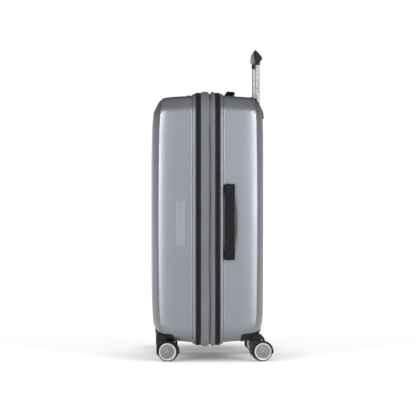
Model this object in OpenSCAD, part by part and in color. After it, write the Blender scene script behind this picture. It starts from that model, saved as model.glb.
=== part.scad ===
// Expandable hard shell suitcase on four twin-wheel casters.
// Frame: X across the case, Y from the lid (-Y) to the trolley (+Y), Z up from the floor.
// The lid opens about the -X side, and the side handle is on +X.

/* [Case] */
// Width over the zip bands, along X
case_w = 515; // [505:5:525]
// Height over the zip bands, along Z
case_h = 725; // [715:5:735]
// Height of the lowest zip band above the floor
case_lift = 45; // [44:0.5:47]
// Radius of the band's corners, seen from the front
corner_r = 56; // [53:1:58]
// Thickness of the moulded shells
shell_t = 3; // [2.6:0.1:3.4]
// How far the shell's walls lean in, from the rim to the crease
draft = 8; // [6:0.5:10]

/* [Zips and gusset] */
// Width of a closed zip band
zip_w = 14.2; // [13:0.1:15]
// Width of the fabric gusset between the two zips
gusset_w = 41.5; // [40:0.5:43]
// Thickness of tape and gusset fabric with its piping
band_t = 4; // [3.5:0.1:4]
// Travel of the expansion, when its zip is open
expansion = 40; // [30:1:40]

/* [Trolley] */
// Distance between the two tubes' centres
tube_gap = 200; // [180:5:210]
// How far the upper stage stands out of its stowed place at rest
handle_out = 124.5; // [100:0.5:124.5]
// Length of the hand grip
grip_len = 226; // [222:2:230]

/* [Casters] */
// Radius of a tyre
wheel_r = 27.5; // [27:0.5:28]
// Width of one tyre
wheel_w = 13; // [12:0.5:13.5]
// Distance from the swivel axis back to the axle
trail = 18; // [16:0.5:19]
// Swivel axes, distance from the middle plane
caster_x = 208; // [204:1:210]

/* [Hidden] */

$fn = 48;
eps = 0.1;              // face gap between pieces that part from each other
fit = 0.05;             // radial clearance of what turns or slides in a bore

// Places along Y. The main zip's middle is set so that the whole object's box is centred.
y_main = -40.9;                          // where the lid parts from the gusset
y_exp = y_main + zip_w + gusset_w;       // where the gusset parts from the back shell
z_mid = case_lift + case_h / 2;
z_top = case_lift + case_h;
hinge_x = -case_w / 2 - 0.5;

// Section of a shell. Each level is [distance from the zip plane, inset at the sides,
// inset at the top, inset at the bottom, corner radius, share of the crease's sag].
crease_v = 113;
rim_v = 2.1;
bead_v = 15.6;
wall_v = 17.6;
rim_in = band_t;
wall_in = rim_in + 5;
bottom_draft = draft + 2.5;
crease_r = 48;          // corner radius at the crease
// The bevel past the crease: [share of its depth, further inset].
bevel_steps = [[0.33, 9.6], [0.58, 24], [0.8, 39.7], [0.86, 49.8], [0.89, 60], [0.94, 95], [1, 170]];
window_v = 89.4;       // where the trolley's opening starts, on the back half's top
window_w = 252;
window_rows = [3, 8];  // levels between which the opening runs
window_col = 9;        // the outline's span that it takes away

function wall_level(v) =
    let (q = (v - wall_v) / (crease_v - wall_v))
    [v, wall_in + draft * q, wall_in + (draft - 1) * q, wall_in + bottom_draft * q,
        corner_r - wall_in + (crease_r - corner_r + wall_in) * q, q];
function levels(bevel) = concat(
    [
        [rim_v, rim_in, rim_in, rim_in, corner_r - rim_in, 0],
        [bead_v, rim_in, rim_in, rim_in, corner_r - rim_in, 0],
        wall_level(wall_v), wall_level(window_v), wall_level(crease_v)
    ],
    [for (s = bevel_steps)
        [crease_v + s[0] * bevel, wall_in + draft + s[1], wall_in + draft - 1 + s[1],
            wall_in + bottom_draft + s[1], max(12, crease_r - 0.4 * s[1]), 1 - s[0]]]
);

// The same section moved inwards by t, which leaves the open end where it was.
function inner(ls, t) = [for (i = [0 : len(ls) - 1]) let (l = ls[i])
    [i < 4 ? l[0] : l[0] - t, l[1] + t, l[2] + t, l[3] + t, max(l[4] - t, 6), l[5]]];

// Points of a rounded rectangle in XZ, anticlockwise from +X. The top has two more points, at
// the edges of the trolley's opening, and the tall sides have n_side spans.
function corner_arc(cx, cz, r, a0, n) =
    [for (i = [0 : n]) [cx + r * cos(a0 + 90 * i / n), cz + r * sin(a0 + 90 * i / n)]];
function between(p, q, n) = n < 2 ? [] : [for (i = [1 : n - 1]) p + (q - p) * i / n];
function outline(in_x, in_top, in_bot, r, top_w = window_w, n_side = 6, n_arc = 8) =
    let (
        hx = case_w / 2 - in_x - r, zt = z_top - in_top - r, zb = case_lift + in_bot + r,
        xw = min(top_w / 2, 0.9 * hx)
    )
    concat(
        corner_arc(hx, zt, r, 0, n_arc), [[xw, zt + r], [-xw, zt + r]],
        corner_arc(-hx, zt, r, 90, n_arc), between([-hx - r, zt], [-hx - r, zb], n_side),
        corner_arc(-hx, zb, r, 180, n_arc),
        corner_arc(hx, zb, r, 270, n_arc), between([hx + r, zb], [hx + r, zt], n_side)
    );

// How far the crease sits back towards the zips at height z, for [over the height, at the ends].
function sag(z, l, bow) =
    let (zt = z_top - l[2], zb = case_lift + l[3], q = abs(2 * z - zt - zb) / (zt - zb))
    l[5] * (bow[0] * q * q + bow[1] * pow(q, 10));

function ring(l, dir, y0, bow) =
    [for (p = outline(l[1], l[2], l[3], l[4])) [p[0], y0 + dir * (l[0] - sag(p[1], l, bow)), p[1]]];

// Each half: [direction, zip plane, bevel depth, [bow over the height, bow at the ends]].
FRONT = [-1, y_main, 19.7, [4, 9.3]];
BACK = [1, y_exp, 22.5, [3, 4.3]];

function flat_list(a) = [for (b = a) each b];
function reversed(a) = [for (i = [len(a) - 1 : -1 : 0]) a[i]];

// Skins a row of rings of equal length into a closed solid. A fan closes each end.
// A window [first, last, column] opens the rings first..last of a skin whose second half of
// rings is the inner face, in the reverse order of the first half.
function mean(a) = [for (k = [0 : 2]) [for (p = a) p[k]] * [for (p = a) 1] / len(a)];
function in_window(w, m, k) =
    let (i = k < m / 2 ? m / 2 - 2 - k : k - m / 2) i >= w[0] && i < w[1];
module loft(rings, flip, window = [0, -1, -1]) {
    n = len(rings[0]);
    m = len(rings);
    w = window[2];
    sides = [for (k = [0 : m - 2], j = [0 : n - 1]) if (j != w || !in_window(window, m, k))
        let (a = k * n + j, b = k * n + (j + 1) % n, c = a + n, d = b + n)
        each [[a, b, c], [b, d, c]]];
    first = [for (j = [0 : n - 1]) [m * n, (j + 1) % n, j]];
    last = [for (j = [0 : n - 1]) let (r = (m - 1) * n) [m * n + 1, r + j, r + (j + 1) % n]];
    outer = [for (i = [0 : m / 2 - 1]) (m / 2 - 1 - i) * n];
    inner = [for (i = [0 : m / 2 - 1]) (m / 2 + i) * n];
    f = window[0];
    l = window[1];
    frame_quads = w < 0 ? [] : concat(
        [
            [outer[l] + w, outer[l] + w + 1, inner[l] + w + 1, inner[l] + w],
            [outer[f] + w + 1, outer[f] + w, inner[f] + w, inner[f] + w + 1]
        ],
        [for (i = [f : l - 1]) each [
            [outer[i + 1] + w + 1, outer[i] + w + 1, inner[i] + w + 1, inner[i + 1] + w + 1],
            [outer[i] + w, outer[i + 1] + w, inner[i + 1] + w, inner[i] + w]
        ]]
    );
    rim = [for (q = frame_quads) each [[q[0], q[1], q[2]], [q[0], q[2], q[3]]]];
    faces = concat(first, sides, last, rim);
    polyhedron(
        points = concat(flat_list(rings), [mean(rings[0]), mean(rings[m - 1])]),
        faces = flip ? [for (t = faces) reversed(t)] : faces
    );
}

// A hollow skin between the surfaces moved in by t0 and by t1, open at its zip side.
function half_rings(half, t) =
    [for (l = inner(levels(half[2]), t)) ring(l, half[0], half[1], half[3])];
module half_skin(half, t0, t1, window = [0, -1, -1]) {
    loft(concat(reversed(half_rings(half, t0)), half_rings(half, t1)), half[0] < 0, window);
}

// A prism along Y, from y1 to y2, of the band's outline moved in.
module prism(y1, y2, in) {
    translate([0, y2, 0]) rotate([90, 0, 0]) linear_extrude(y2 - y1)
        polygon(outline(in, in, in, max(corner_r - in, 12), 0, 1));
}

module band(y1, y2, in1, in2) {
    difference() {
        prism(y1, y2, in1);
        prism(y1 - 1, y2 + 1, in2);
    }
}

// A flat plate with round corners, centred, standing on z = 0.
module plate(w, d, h, r) {
    a = w / 2 - r;
    b = d / 2 - r;
    linear_extrude(h) polygon(concat(
        corner_arc(a, b, r, 0, 5), corner_arc(-a, b, r, 90, 5),
        corner_arc(-a, -b, r, 180, 5), corner_arc(a, -b, r, 270, 5)
    ));
}

module both_sides() {
    children();
    mirror([1, 0, 0]) children();
}

// ---- Places on the leaning walls ----
side_lean = atan(draft / (crease_v - wall_v));
top_lean = atan((draft - 1) / (crease_v - wall_v));
function wall_inset(y, lean) = wall_in + (abs(y) - wall_v) * tan(lean);

// Local frame on the +X wall of a half, v from its zip: +Z is out of the wall, +X is up.
module on_side(half, v, z) {
    translate([case_w / 2 - wall_inset(v, side_lean), half[1] + half[0] * v, z])
        rotate([0, 0, half[0] * side_lean]) rotate([0, 90, 0]) rotate([0, 0, 180]) children();
}

// Local frame on the top wall of a half: +Z is out of the wall, +X is across the case.
module on_top(half, v) {
    translate([0, half[1] + half[0] * v, z_top - wall_inset(v, top_lean)])
        rotate([-half[0] * top_lean, 0, 0]) children();
}

// ---- Zips, gusset and frame ----
hoop_t = 2.5;
sleeve_in = band_t + 6.5;
sleeve_hem = 12.7;     // what the sleeve keeps inside the hoop when expanded
binding_h = 580;       // length of the cloth hinge along the case's side
module back_zip_tape() {
    color("#1b1b1a") band(y_exp + eps, y_exp + zip_w / 2, 0, band_t);
}
module frame_expansion_zip_tape() {
    color("#1b1b1a") band(y_exp - zip_w / 2, y_exp - eps, 0, band_t);
}
module frame_main_zip_tape() {
    color("#1b1b1a") band(y_main + eps, y_main + zip_w / 2, 0, band_t);
}
module lid_zip_tape() {
    color("#1b1b1a") band(y_main - zip_w / 2, y_main - eps, 0, band_t);
}
module gusset_fabric() {
    color("#9a9da3") band(y_main + zip_w / 2, y_exp - zip_w / 2, 0.5, band_t);
}
module frame_hoop() {
    color("#2b2b2c") band(y_main + hoop_t, y_exp - hoop_t, band_t, band_t + hoop_t);
}
// The sleeve of cloth that the expansion uncovers. It hides inside the hoop at rest.
module expansion_gusset() {
    color("#55585d") band(y_exp - expansion - sleeve_hem, y_exp + 9, sleeve_in, sleeve_in + 1.5);
}
module hinge_binding() {
    color("#232324") translate([-case_w / 2 + band_t + hoop_t + 0.2, y_main + 3, z_mid - binding_h / 2])
        cube([1.2, 40, binding_h]);
}

// ---- Shells and linings ----
pivot_v = 102.9;        // swivel axes, from the lid's zip plane
pivot_back_v = 109.8;  // swivel axes, from the back shell's zip plane
boss_z = 60.2;
boss_h = 17;
boss_r = 17.2;
function pivot_y(half) = half[0] < 0 ? y_main - pivot_v : y_exp + pivot_back_v;
module at_pivots(half, z) {
    both_sides() translate([caster_x, pivot_y(half), z]) children();
}
module boss_holes(half, clear) {
    at_pivots(half, boss_z - 12) cylinder(r = boss_r + clear, h = 44);
}

module front_shell() {
    color("#9c9ea6") difference() {
        half_skin(FRONT, 0, shell_t);
        boss_holes(FRONT, 0.1);
    }
}

module back_shell() {
    color("#9c9ea6") difference() {
        half_skin(BACK, 0, shell_t, [window_rows[0], window_rows[1], window_col]);
        boss_holes(BACK, 0.1);
        on_side(BACK, side_handle_v, side_handle_z) leg_holes();
        on_top(BACK, top_handle_v) leg_holes();
    }
}

module front_lining() {
    color("#6f7278") difference() {
        half_skin(FRONT, shell_t + 0.8, shell_t + 2);
        boss_holes(FRONT, 0.6);
    }
}

// The back half's lining is a tub whose floor lies over the trolley's tubes. Its last level is
// the lower edge of the opening for the trolley's cover.
// Each level: [distance from the zip plane, inset, corner radius].
tub_levels = [[4.5, 15, 38], [86, 26, 30], [92, 27, 30], [101, 31, 26], [105, 39, 20], [105, 69, 12]];
tub_t = 1.2;
tub_window_w = window_w + 8;
function tub_rings(t) = [for (i = [0 : len(tub_levels) - 1]) let (l = tub_levels[i])
    [for (p = outline(l[1] + t, l[1] + t, l[1] + t + 6, l[2], tub_window_w, 2))
        [p[0], y_exp + l[0] - (i > 2 ? t : 0), p[1]]]];
module back_lining() {
    color("#6f7278") loft(concat(reversed(tub_rings(0)), tub_rings(tub_t)), false, [1, 5, window_col]);
}
cover_lap = 2.2;       // how far the trolley's cover reaches past the opening
cover_t = 1.5;
module trolley_cover() {
    w = window_w + 2 * cover_lap;
    color("#3c3e42") translate([-w / 2, y_exp + 86.8, window_z - cover_lap]) difference() {
        cube([w, 18, 48]);
        translate([cover_t, cover_t, cover_t]) cube([w - 2 * cover_t, 20, 50]);
    }
}

// ---- Corner guards: a skin over each lower corner, with the boss that holds the swivel ----
guard_end_x = 160;
guard_t = [0.4, 1.9];  // inner and outer face, off the shell
guard_arc = 8;
// Each: [distance from the zip plane, height of the guard's upper edge].
FRONT_GUARD = [[66, 63], [68, 70], [74, 78.5], [90, 82.5], [113, 87], [119.5, 89.5], [124.4, 92]];
BACK_GUARD = [[83, 64], [85, 74], [91, 79], [102, 83], [113, 87], [120.4, 89.5], [126, 92]];
function guard_level(half, v) = v <= crease_v
    ? wall_level(v)
    : let (q = (v - crease_v) / half[2], s = lookup(q, [[0, 0], [0.33, 9.6], [0.58, 24], [0.8, 39.7]]))
        [v, wall_in + draft + s, wall_in + draft - 1 + s, wall_in + bottom_draft + s, crease_r - 0.4 * s, 1 - q];
// One row of points around the corner, from the upper edge z1 to the end under the case.
function guard_row(half, v, z1, t) =
    let (
        l = guard_level(half, v), r = l[4] + t,
        cx = case_w / 2 - l[1] - l[4], cz = case_lift + l[3] + l[4],
        a1 = -asin(min(0.995, max(0, (cz - z1) / r))), y = half[1] + half[0] * (v + (v > crease_v ? t : 0)),
        arc = [for (i = [0 : guard_arc]) let (a = a1 + (-90 - a1) * i / guard_arc)
            [cx + r * cos(a), cz + r * sin(a)]]
    )
    [for (p = concat(arc, [[guard_end_x, cz - r]])) [p[0], y - half[0] * sag(p[1], l, half[3]), p[1]]];
// A strip of sheet between two faces, each given as rows of points.
module sheet_strip(top, under, flip) {
    m = len(top);
    n = len(top[0]);
    u = m * n;
    cells = [for (i = [0 : m - 2], j = [0 : n - 2])
        let (a = i * n + j, b = a + 1, c = a + n, d = c + 1)
        each [[a, b, c], [b, d, c], [u + a, u + c, u + b], [u + b, u + c, u + d]]];
    loop = concat(
        [for (j = [0 : n - 1]) j], [for (i = [1 : m - 1]) i * n + n - 1],
        [for (j = [n - 2 : -1 : 0]) (m - 1) * n + j], [for (i = [m - 2 : -1 : 1]) i * n]
    );
    edge = [for (k = [0 : len(loop) - 1]) let (a = loop[k], b = loop[(k + 1) % len(loop)])
        each [[b, a, u + a], [b, u + a, u + b]]];
    faces = concat(cells, edge);
    polyhedron(
        points = concat(flat_list(top), flat_list(under)),
        faces = flip ? [for (t = faces) reversed(t)] : faces
    );
}
module corner_guards(half, rows) {
    color("#1e1e1f") difference() {
        union() {
            both_sides() sheet_strip(
                [for (g = rows) guard_row(half, g[0], g[1], guard_t[1])],
                [for (g = rows) guard_row(half, g[0], g[1], guard_t[0])], half[0] > 0
            );
            at_pivots(half, boss_z) cylinder(r = boss_r, h = boss_h);
        }
        at_pivots(half, boss_z - 1) cylinder(r = pin_r + fit, h = boss_h);
        screw_places(half, boss_z + boss_h - screw_len - 0.3) cylinder(r = screw_r + fit, h = 40);
    }
}
module front_corner_guards() { corner_guards(FRONT, FRONT_GUARD); }
module rear_corner_guards() { corner_guards(BACK, BACK_GUARD); }

// The screws hold each guard from inside: their heads rest on the boss.
screw_r = 1.6;
screw_len = 10;
screw_out = 11;        // from the swivel axis
module screw_places(half, z) {
    at_pivots(half, z) for (p = [[-screw_out, 0, 0], [0, -half[0] * screw_out, 0]]) translate(p) children();
}
module guard_screws(half) {
    color("#3a3a3c") screw_places(half, boss_z + boss_h) {
        translate([0, 0, -screw_len]) cylinder(r = screw_r, h = screw_len + 1);
        cylinder(r = 2.8, h = 1.8);
    }
}
module front_screws() { guard_screws(FRONT); }
module rear_screws() { guard_screws(BACK); }

// ---- Casters ----
// Each caster: [side, half, swivel angle at rest].
CASTERS = [
    ["front_right", 1, FRONT, -9], ["front_left", -1, FRONT, 6],
    ["rear_right", 1, BACK, 11], ["rear_left", -1, BACK, -4]
];
web_t = 6;             // fork's middle web, between the twin wheels
wheel_in = web_t / 2 + 0.8;
hood_r = wheel_r + 3.5;
hood_w = 32;
fork_top = boss_z - 1;
fork_front = 14;       // leading edge, from the swivel axis
FORK_UNDER = [[-fork_front, 24], [-10, 16], [-2, 14], [12, 18]];
pin_r = 4;
pin_len = 16;
axle_r = 3;

module at_caster(c) {
    translate([c[1] * caster_x, pivot_y(c[2]), 0]) rotate([0, 0, c[3]]) children();
}
module across(x1, x2, r) {
    translate([x1, trail, wheel_r]) rotate([0, 90, 0]) cylinder(r = r, h = x2 - x1);
}
function hood_arc(a0, a1, r, n) =
    [for (i = [0 : n]) let (a = a0 + (a1 - a0) * i / n) [trail + r * cos(a), wheel_r + r * sin(a)]];
// Side outline of the fork in YZ: a straight leading edge, a flat top and a round tail.
module fork_outline() {
    polygon(concat(FORK_UNDER, hood_arc(-12, 72, hood_r, 12),
        [[fork_front, fork_top], [-fork_front, fork_top]]));
}
module fork(c) {
    color("#1e1e1f") at_caster(c) {
        difference() {
            rotate([90, 0, 90]) translate([0, 0, -hood_w / 2]) linear_extrude(hood_w) fork_outline();
            across(web_t / 2, 40, wheel_r + 1.6);
            across(-40, -web_t / 2, wheel_r + 1.6);
            across(-10, 10, axle_r + fit);
        }
        translate([0, 0, fork_top - 0.2]) cylinder(r = pin_r, h = pin_len);
        translate([0, 0, fork_top - 0.2]) cylinder(r = 10.5, h = 0.8);
    }
}
module axle(c) {
    color("#b9bbbf") at_caster(c) across(-wheel_in - wheel_w + 1.5, wheel_in + wheel_w - 1.5, axle_r);
}
module wheel_pair(c) {
    at_caster(c) for (s = [0, 1]) mirror([s, 0, 0])
        translate([wheel_in, trail, wheel_r]) rotate([0, 90, 0]) children();
}
rim_r = wheel_r - 2.6;
module tyres(c) {
    color("#141414") wheel_pair(c) rotate_extrude($fn = 72) polygon([
        [rim_r, 0], [wheel_r - 1.2, 0], [wheel_r, 1.2], [wheel_r, wheel_w - 1.2],
        [wheel_r - 1.2, wheel_w], [rim_r, wheel_w]
    ]);
}
module hubs(c) {
    color("#a4a7ad") wheel_pair(c) rotate_extrude($fn = 72) polygon([
        [axle_r, 0], [9, 0], [9, 3], [rim_r - 3, 3], [rim_r - 3, 0], [rim_r, 0],
        [rim_r, wheel_w - 0.4], [rim_r - 2.4, wheel_w + 0.3], [rim_r - 3.4, wheel_w - 0.9],
        [0, wheel_w - 0.9], [0, wheel_w - 1.4], [axle_r, wheel_w - 1.4]
    ]);
}
module fork_front_right() { fork(CASTERS[0]); }
module axle_front_right() { axle(CASTERS[0]); }
module tyres_front_right() { tyres(CASTERS[0]); }
module hubs_front_right() { hubs(CASTERS[0]); }
module fork_front_left() { fork(CASTERS[1]); }
module axle_front_left() { axle(CASTERS[1]); }
module tyres_front_left() { tyres(CASTERS[1]); }
module hubs_front_left() { hubs(CASTERS[1]); }
module fork_rear_right() { fork(CASTERS[2]); }
module axle_rear_right() { axle(CASTERS[2]); }
module tyres_rear_right() { tyres(CASTERS[2]); }
module hubs_rear_right() { hubs(CASTERS[2]); }
module fork_rear_left() { fork(CASTERS[3]); }
module axle_rear_left() { axle(CASTERS[3]); }
module tyres_rear_left() { tyres(CASTERS[3]); }
module hubs_rear_left() { hubs(CASTERS[3]); }

// ---- Trolley ----
window_y = y_exp + window_v;
window_z = z_top - wall_in - draft + 1 - bevel_steps[3][1];
slab_z = window_z;     // underside of the bezel's floor
pocket_floor = 724;
tube_y = y_exp + 120;
tube_size = [19, 12];             // inner tube, across and deep
tube_step = 2.1;                  // each outer tube is this much larger
tube_wall = 0.9;
middle_bottom = 165;
outer_bottom = 130;
bush_t = 6;
bracket_z = pocket_floor + bush_t + 0.5 + handle_out;
grip_z = bracket_z + 10;

module tube_at(z1, z2, step, wall) {
    both_sides() translate([tube_gap / 2, tube_y, z1]) difference() {
        plate(tube_size[0] + step, tube_size[1] + step, z2 - z1, 5 + step / 2);
        translate([0, 0, -1])
            plate(tube_size[0] + step - 2 * wall, tube_size[1] + step - 2 * wall, z2 - z1 + 2, 5 + step / 2 - wall);
    }
}
module tube_hole(z1, z2, step) {
    both_sides() translate([tube_gap / 2, tube_y, z1])
        plate(tube_size[0] + step, tube_size[1] + step, z2 - z1, 5 + step / 2);
}
module trolley_outer_tubes() {
    color("#8d9096") tube_at(outer_bottom, slab_z - 0.2, 2 * tube_step, tube_wall);
}
module trolley_middle_tubes() {
    color("#b4b7bb") tube_at(middle_bottom, pocket_floor, tube_step, tube_wall);
}
module trolley_inner_tubes() {
    color("#c3c5c8") tube_at(bracket_z - 520, bracket_z + 6, 0, tube_wall);
}
module middle_tube_bushes() {
    color("#1e1e1f") difference() {
        tube_hole(pocket_floor + 0.2, pocket_floor + bush_t, tube_step + 4.5);
        tube_hole(pocket_floor - 1, pocket_floor + bush_t + 1, 0.5);
    }
}
module trolley_base_bracket() {
    color("#2b2b2c") difference() {
        translate([-tube_gap / 2 - 20, tube_y - 11, outer_bottom - 12])
            cube([tube_gap + 40, 18.5, 20]);
        tube_hole(outer_bottom, outer_bottom + 20, 2 * tube_step + 0.1);
        translate([-tube_gap / 2 + 20, tube_y - 12, outer_bottom - 6]) cube([tube_gap - 40, 21, 20]);
    }
}
// The moulding round the trolley: a flange on the shell and a tray sunk into its opening.
bezel_w = 270;
flange_t = 3.2;
bezel_lip = 8;
pocket_room = 6;       // beside the stowed grip
pocket_front = 24;     // from the tubes to the pocket's front wall
function back_profile(t, from) = [for (i = [from : window_rows[1] + 1])
    let (l = inner(levels(BACK[2]), -t)[i]) [y_exp + l[0] - l[5] * (BACK[3][0] + BACK[3][1]), z_top - l[2]]];
module along_x(x1, x2) {
    rotate([90, 0, 90]) translate([0, 0, x1]) linear_extrude(x2 - x1) children();
}
module bezel_flange(x1, x2) {
    along_x(x1, x2) intersection() {
        polygon(concat(back_profile(flange_t, 3), reversed(back_profile(0.2, 3))));
        translate([window_y - bezel_lip, window_z - bezel_lip]) square([90, 90]);
    }
}
module trolley_bezel() {
    half_w = window_w / 2 - 0.4;
    color("#1e1e1f") difference() {
        union() {
            bezel_flange(-bezel_w / 2, bezel_w / 2);
            along_x(-half_w, half_w) polygon(concat(
                [[window_y + 0.4, window_z + 0.4]],
                [for (p = back_profile(1, 3)) [max(p[0], window_y + 0.4), max(p[1], window_z + 0.4)]]
            ));
        }
        translate([-grip_len / 2 - pocket_room, tube_y - pocket_front, pocket_floor])
            cube([grip_len + 2 * pocket_room, 60, 80]);
        tube_hole(slab_z - 10, pocket_floor + 10, tube_step + 0.4);
        translate([-80, tube_y - 20, slab_z - 10]) cube([160, 22, 25]);
    }
}

// The grip's outline in YZ, a leaf with its tip up. [y, z, radius] from the tubes and grip_z.
LEAF_FRONT = [[-7, 31.4, 2.4], [-3.4, 15, 7.4], [-3.2, 7.6, 7.2]];
LEAF_BACK = [[8.7, 8.6, 4.9], [5, 5.2, 5.2]];
grip_seam = -7;                   // the seam between the front and back mouldings
bracket_step = 2.6;               // the tubes' sockets are this much larger than the tubes
bracket_lap = 2;                  // and reach this far into the grip
module leaf() {
    hull() for (c = concat(LEAF_FRONT, LEAF_BACK)) translate([c[0], c[1]]) circle(r = c[2], $fn = 32);
}
module along_grip(len) {
    translate([-len / 2, tube_y, grip_z]) rotate([90, 0, 90]) linear_extrude(len) children();
}
button_size = [42, 3.4, 9];         // across, deep, high
button_y = tube_y - 6.2;
button_top = grip_z + 35.2;
module button_well() {
    translate([-button_size[0] / 2 - 0.4, button_y - button_size[1] / 2 - 0.4, button_top - 16])
        cube([button_size[0] + 0.8, button_size[1] + 0.8, 30]);
}
module grip_half(front) {
    difference() {
        along_grip(grip_len) intersection() {
            leaf();
            translate([front ? grip_seam - eps - 60 : grip_seam, -20]) square([60, 80]);
        }
        button_well();
        tube_hole(bracket_z - 1, grip_z + 8, 0.1);
        if (front) tube_hole(bracket_z, grip_z + bracket_lap + eps, bracket_step + 2 * eps);
    }
}
module grip_front() {
    color("#3c3d3f") grip_half(true);
}
module grip_back() {
    color("#1a1a1b") {
        grip_half(false);
        difference() {
            tube_hole(bracket_z, grip_z + bracket_lap, bracket_step);
            tube_hole(bracket_z - 1, grip_z + 8, 0.1);
        }
    }
}
module grip_button() {
    color("#2d2e30") translate([0, button_y, button_top - button_size[2]])
        plate(button_size[0], button_size[1], button_size[2], 1.5);
}

// ---- Pull handles: a bar on two legs, which slide in sockets on the wall ----
side_handle_v = 32.8;
side_handle_z = 399;
top_handle_v = 40.8;
handle_reach = 92;     // legs, from the bar's middle
handle_len = 217;
leg_r = 5;
socket_h = 7.5;
bar_h = 9.5;
bar_z = 9;             // underside of the bar above the wall
leg_len = 16.8;

module leg_holes() {
    for (s = [-1, 1]) translate([s * handle_reach, 0, -12]) cylinder(r = leg_r + 1.2, h = 24);
}
module socket_pair(width) {
    color("#1e1e1f") for (s = [-1, 1]) translate([s * (handle_reach + 1), 0, 0]) difference() {
        union() {
            plate(30, width, socket_h, 5);
            translate([-s, 0, -4]) cylinder(r = leg_r + 1.1, h = 6);
        }
        translate([-s, 0, -10]) cylinder(r = leg_r + 0.06, h = 30);
    }
}
module handle_bar(width, length) {
    color("#242425") {
        translate([0, 0, bar_z]) difference() {
            plate(length, width, bar_h, 5);
            translate([0, 0, -1]) plate(length - 66, width - 12, 2.2, 5);
        }
        for (s = [-1, 1]) translate([s * handle_reach, 0, bar_z - leg_len]) cylinder(r = leg_r, h = leg_len + 2);
    }
}
module handle_sockets() {
    on_side(BACK, side_handle_v, side_handle_z) socket_pair(31);
    on_top(BACK, top_handle_v) socket_pair(28);
}
module side_handle() {
    on_side(BACK, side_handle_v, side_handle_z) handle_bar(29, handle_len);
}
module top_handle() {
    on_top(BACK, top_handle_v) handle_bar(25.5, handle_len);
}

// ---- Lock on the lid's top ----
lock_w = 74;
lock_front = 6.5;      // front of the housing, from the dials
lock_y = y_main - 22.4;
dial_r = 4.7;
dial_z = z_top - 4;
dial_x = [-24, -15, -6];
module lock_housing() {
    color("#1b1b1c") difference() {
        union() {
            translate([-lock_w / 2, lock_y - lock_front, z_top - rim_in - 4.8]) cube([lock_w, 11.2, 8.4]);
            translate([-lock_w / 2, lock_y - lock_front, z_top - rim_in + eps]) cube([lock_w, 18.4, 3.5]);
        }
        for (x = dial_x) translate([x - 2.6, lock_y - 5.4, z_top - 20]) cube([5.2, 10, 40]);
        translate([6, lock_y - 3.2, z_top - 20]) cube([13, 6.4, 40]);
        translate([28, lock_y, z_top - 20]) cylinder(r = 3.6, h = 40);
    }
    color("#8d9096") translate([-lock_w / 2 + 3, lock_y - 0.4, dial_z]) rotate([0, 90, 0]) cylinder(r = 1, h = 36);
}
module lock_dial(i) {
    color("#3a3a3c") translate([dial_x[i] - 2, lock_y - 0.4, dial_z]) rotate([0, 90, 0]) difference() {
        cylinder(r = dial_r, h = 4);
        translate([0, 0, -1]) cylinder(r = 1.06, h = 6);
    }
}
module lock_dial_1() { lock_dial(0); }
module lock_dial_2() { lock_dial(1); }
module lock_dial_3() { lock_dial(2); }
module lock_button() {
    color("#3a3a3c") translate([6.4, lock_y - 2.8, z_top - 7]) cube([9, 5.6, 7.8]);
}
module lock_key_plug() {
    color("#8d9096") difference() {
        translate([28, lock_y, z_top - 8]) cylinder(r = 3.5, h = 7.8);
        translate([27.5, lock_y - 2.2, z_top - 3]) cube([1, 4.4, 5]);
    }
}

// ---- Zip sliders, each with its pull ----
slider_h = 5.2;
slider_x = 9;
pull_pin_z = z_top + 4;
pull_w = 9.2;
module slider_body(s) {
    difference() {
        union() {
            translate([s * slider_x, y_main, z_top + 0.3]) plate(12, 10, 2.4, 3);
            translate([s * slider_x - 2.6, y_main - 3, z_top + 0.3]) cube([5.2, 6, slider_h]);
        }
        translate([s * slider_x - 4, y_main, pull_pin_z]) rotate([0, 90, 0]) cylinder(r = 1.1, h = 8);
    }
}
module zip_slider_right() { color("#232324") slider_body(1); }
module zip_slider_left() { color("#232324") slider_body(-1); }
pull_rise = 13;
module zip_pull(s) {
    color("#2a2a2b") translate([s * slider_x, y_main, pull_pin_z]) {
        translate([-pull_w / 2, 0, 0]) rotate([0, 90, 0]) cylinder(r = 1, h = pull_w);
        rotate([pull_rise, 0, 0]) {
            for (x = [-pull_w / 2, pull_w / 2 - 1.6]) translate([x, -0.75, -1]) cube([1.6, 6.75, 2]);
            translate([-pull_w / 2, 4.4, -1]) cube([pull_w, 20, 2]);
        }
    }
}
module zip_pull_right() { zip_pull(1); }
module zip_pull_left() { zip_pull(-1); }
module expansion_slider() {
    color("#232324") translate([-case_w / 2 - 0.3, y_exp, 190]) rotate([0, -90, 0]) {
        plate(12, 10, 2.4, 3);
        translate([-3, -2.6, 0]) cube([6, 5.2, 4.6]);
        translate([-26, -4, 4]) cube([26, 8, 1.8]);
    }
}

// ---- Inside ----
strap_y = y_exp + 9;
strap_angle = 49.6;
strap_w = 34;
module packing_straps() {
    color("#1f2022") for (a = [strap_angle, 180 - strap_angle, 180 + strap_angle, -strap_angle])
        translate([0, strap_y, z_mid]) rotate([90, -a, 0]) translate([34, -strap_w / 2, 0]) cube([268, strap_w, 1.6]);
}
module strap_buckle() {
    color("#1a1a1b") translate([0, strap_y + 3.5, z_mid]) rotate([90, 0, 0]) plate(44, 56, 9, 8);
}
module divider_panel() {
    color("#2b2c2e") prism(y_main - 13, y_main - 11.5, band_t + 6);
}

badge_v = 50.7;
badge_z = 395.5;
module badge_plate() {
    color("#a9abb2") on_side(FRONT, badge_v, badge_z) translate([0, 0, 0.02]) plate(127, 23, 0.8, 2);
}

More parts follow.
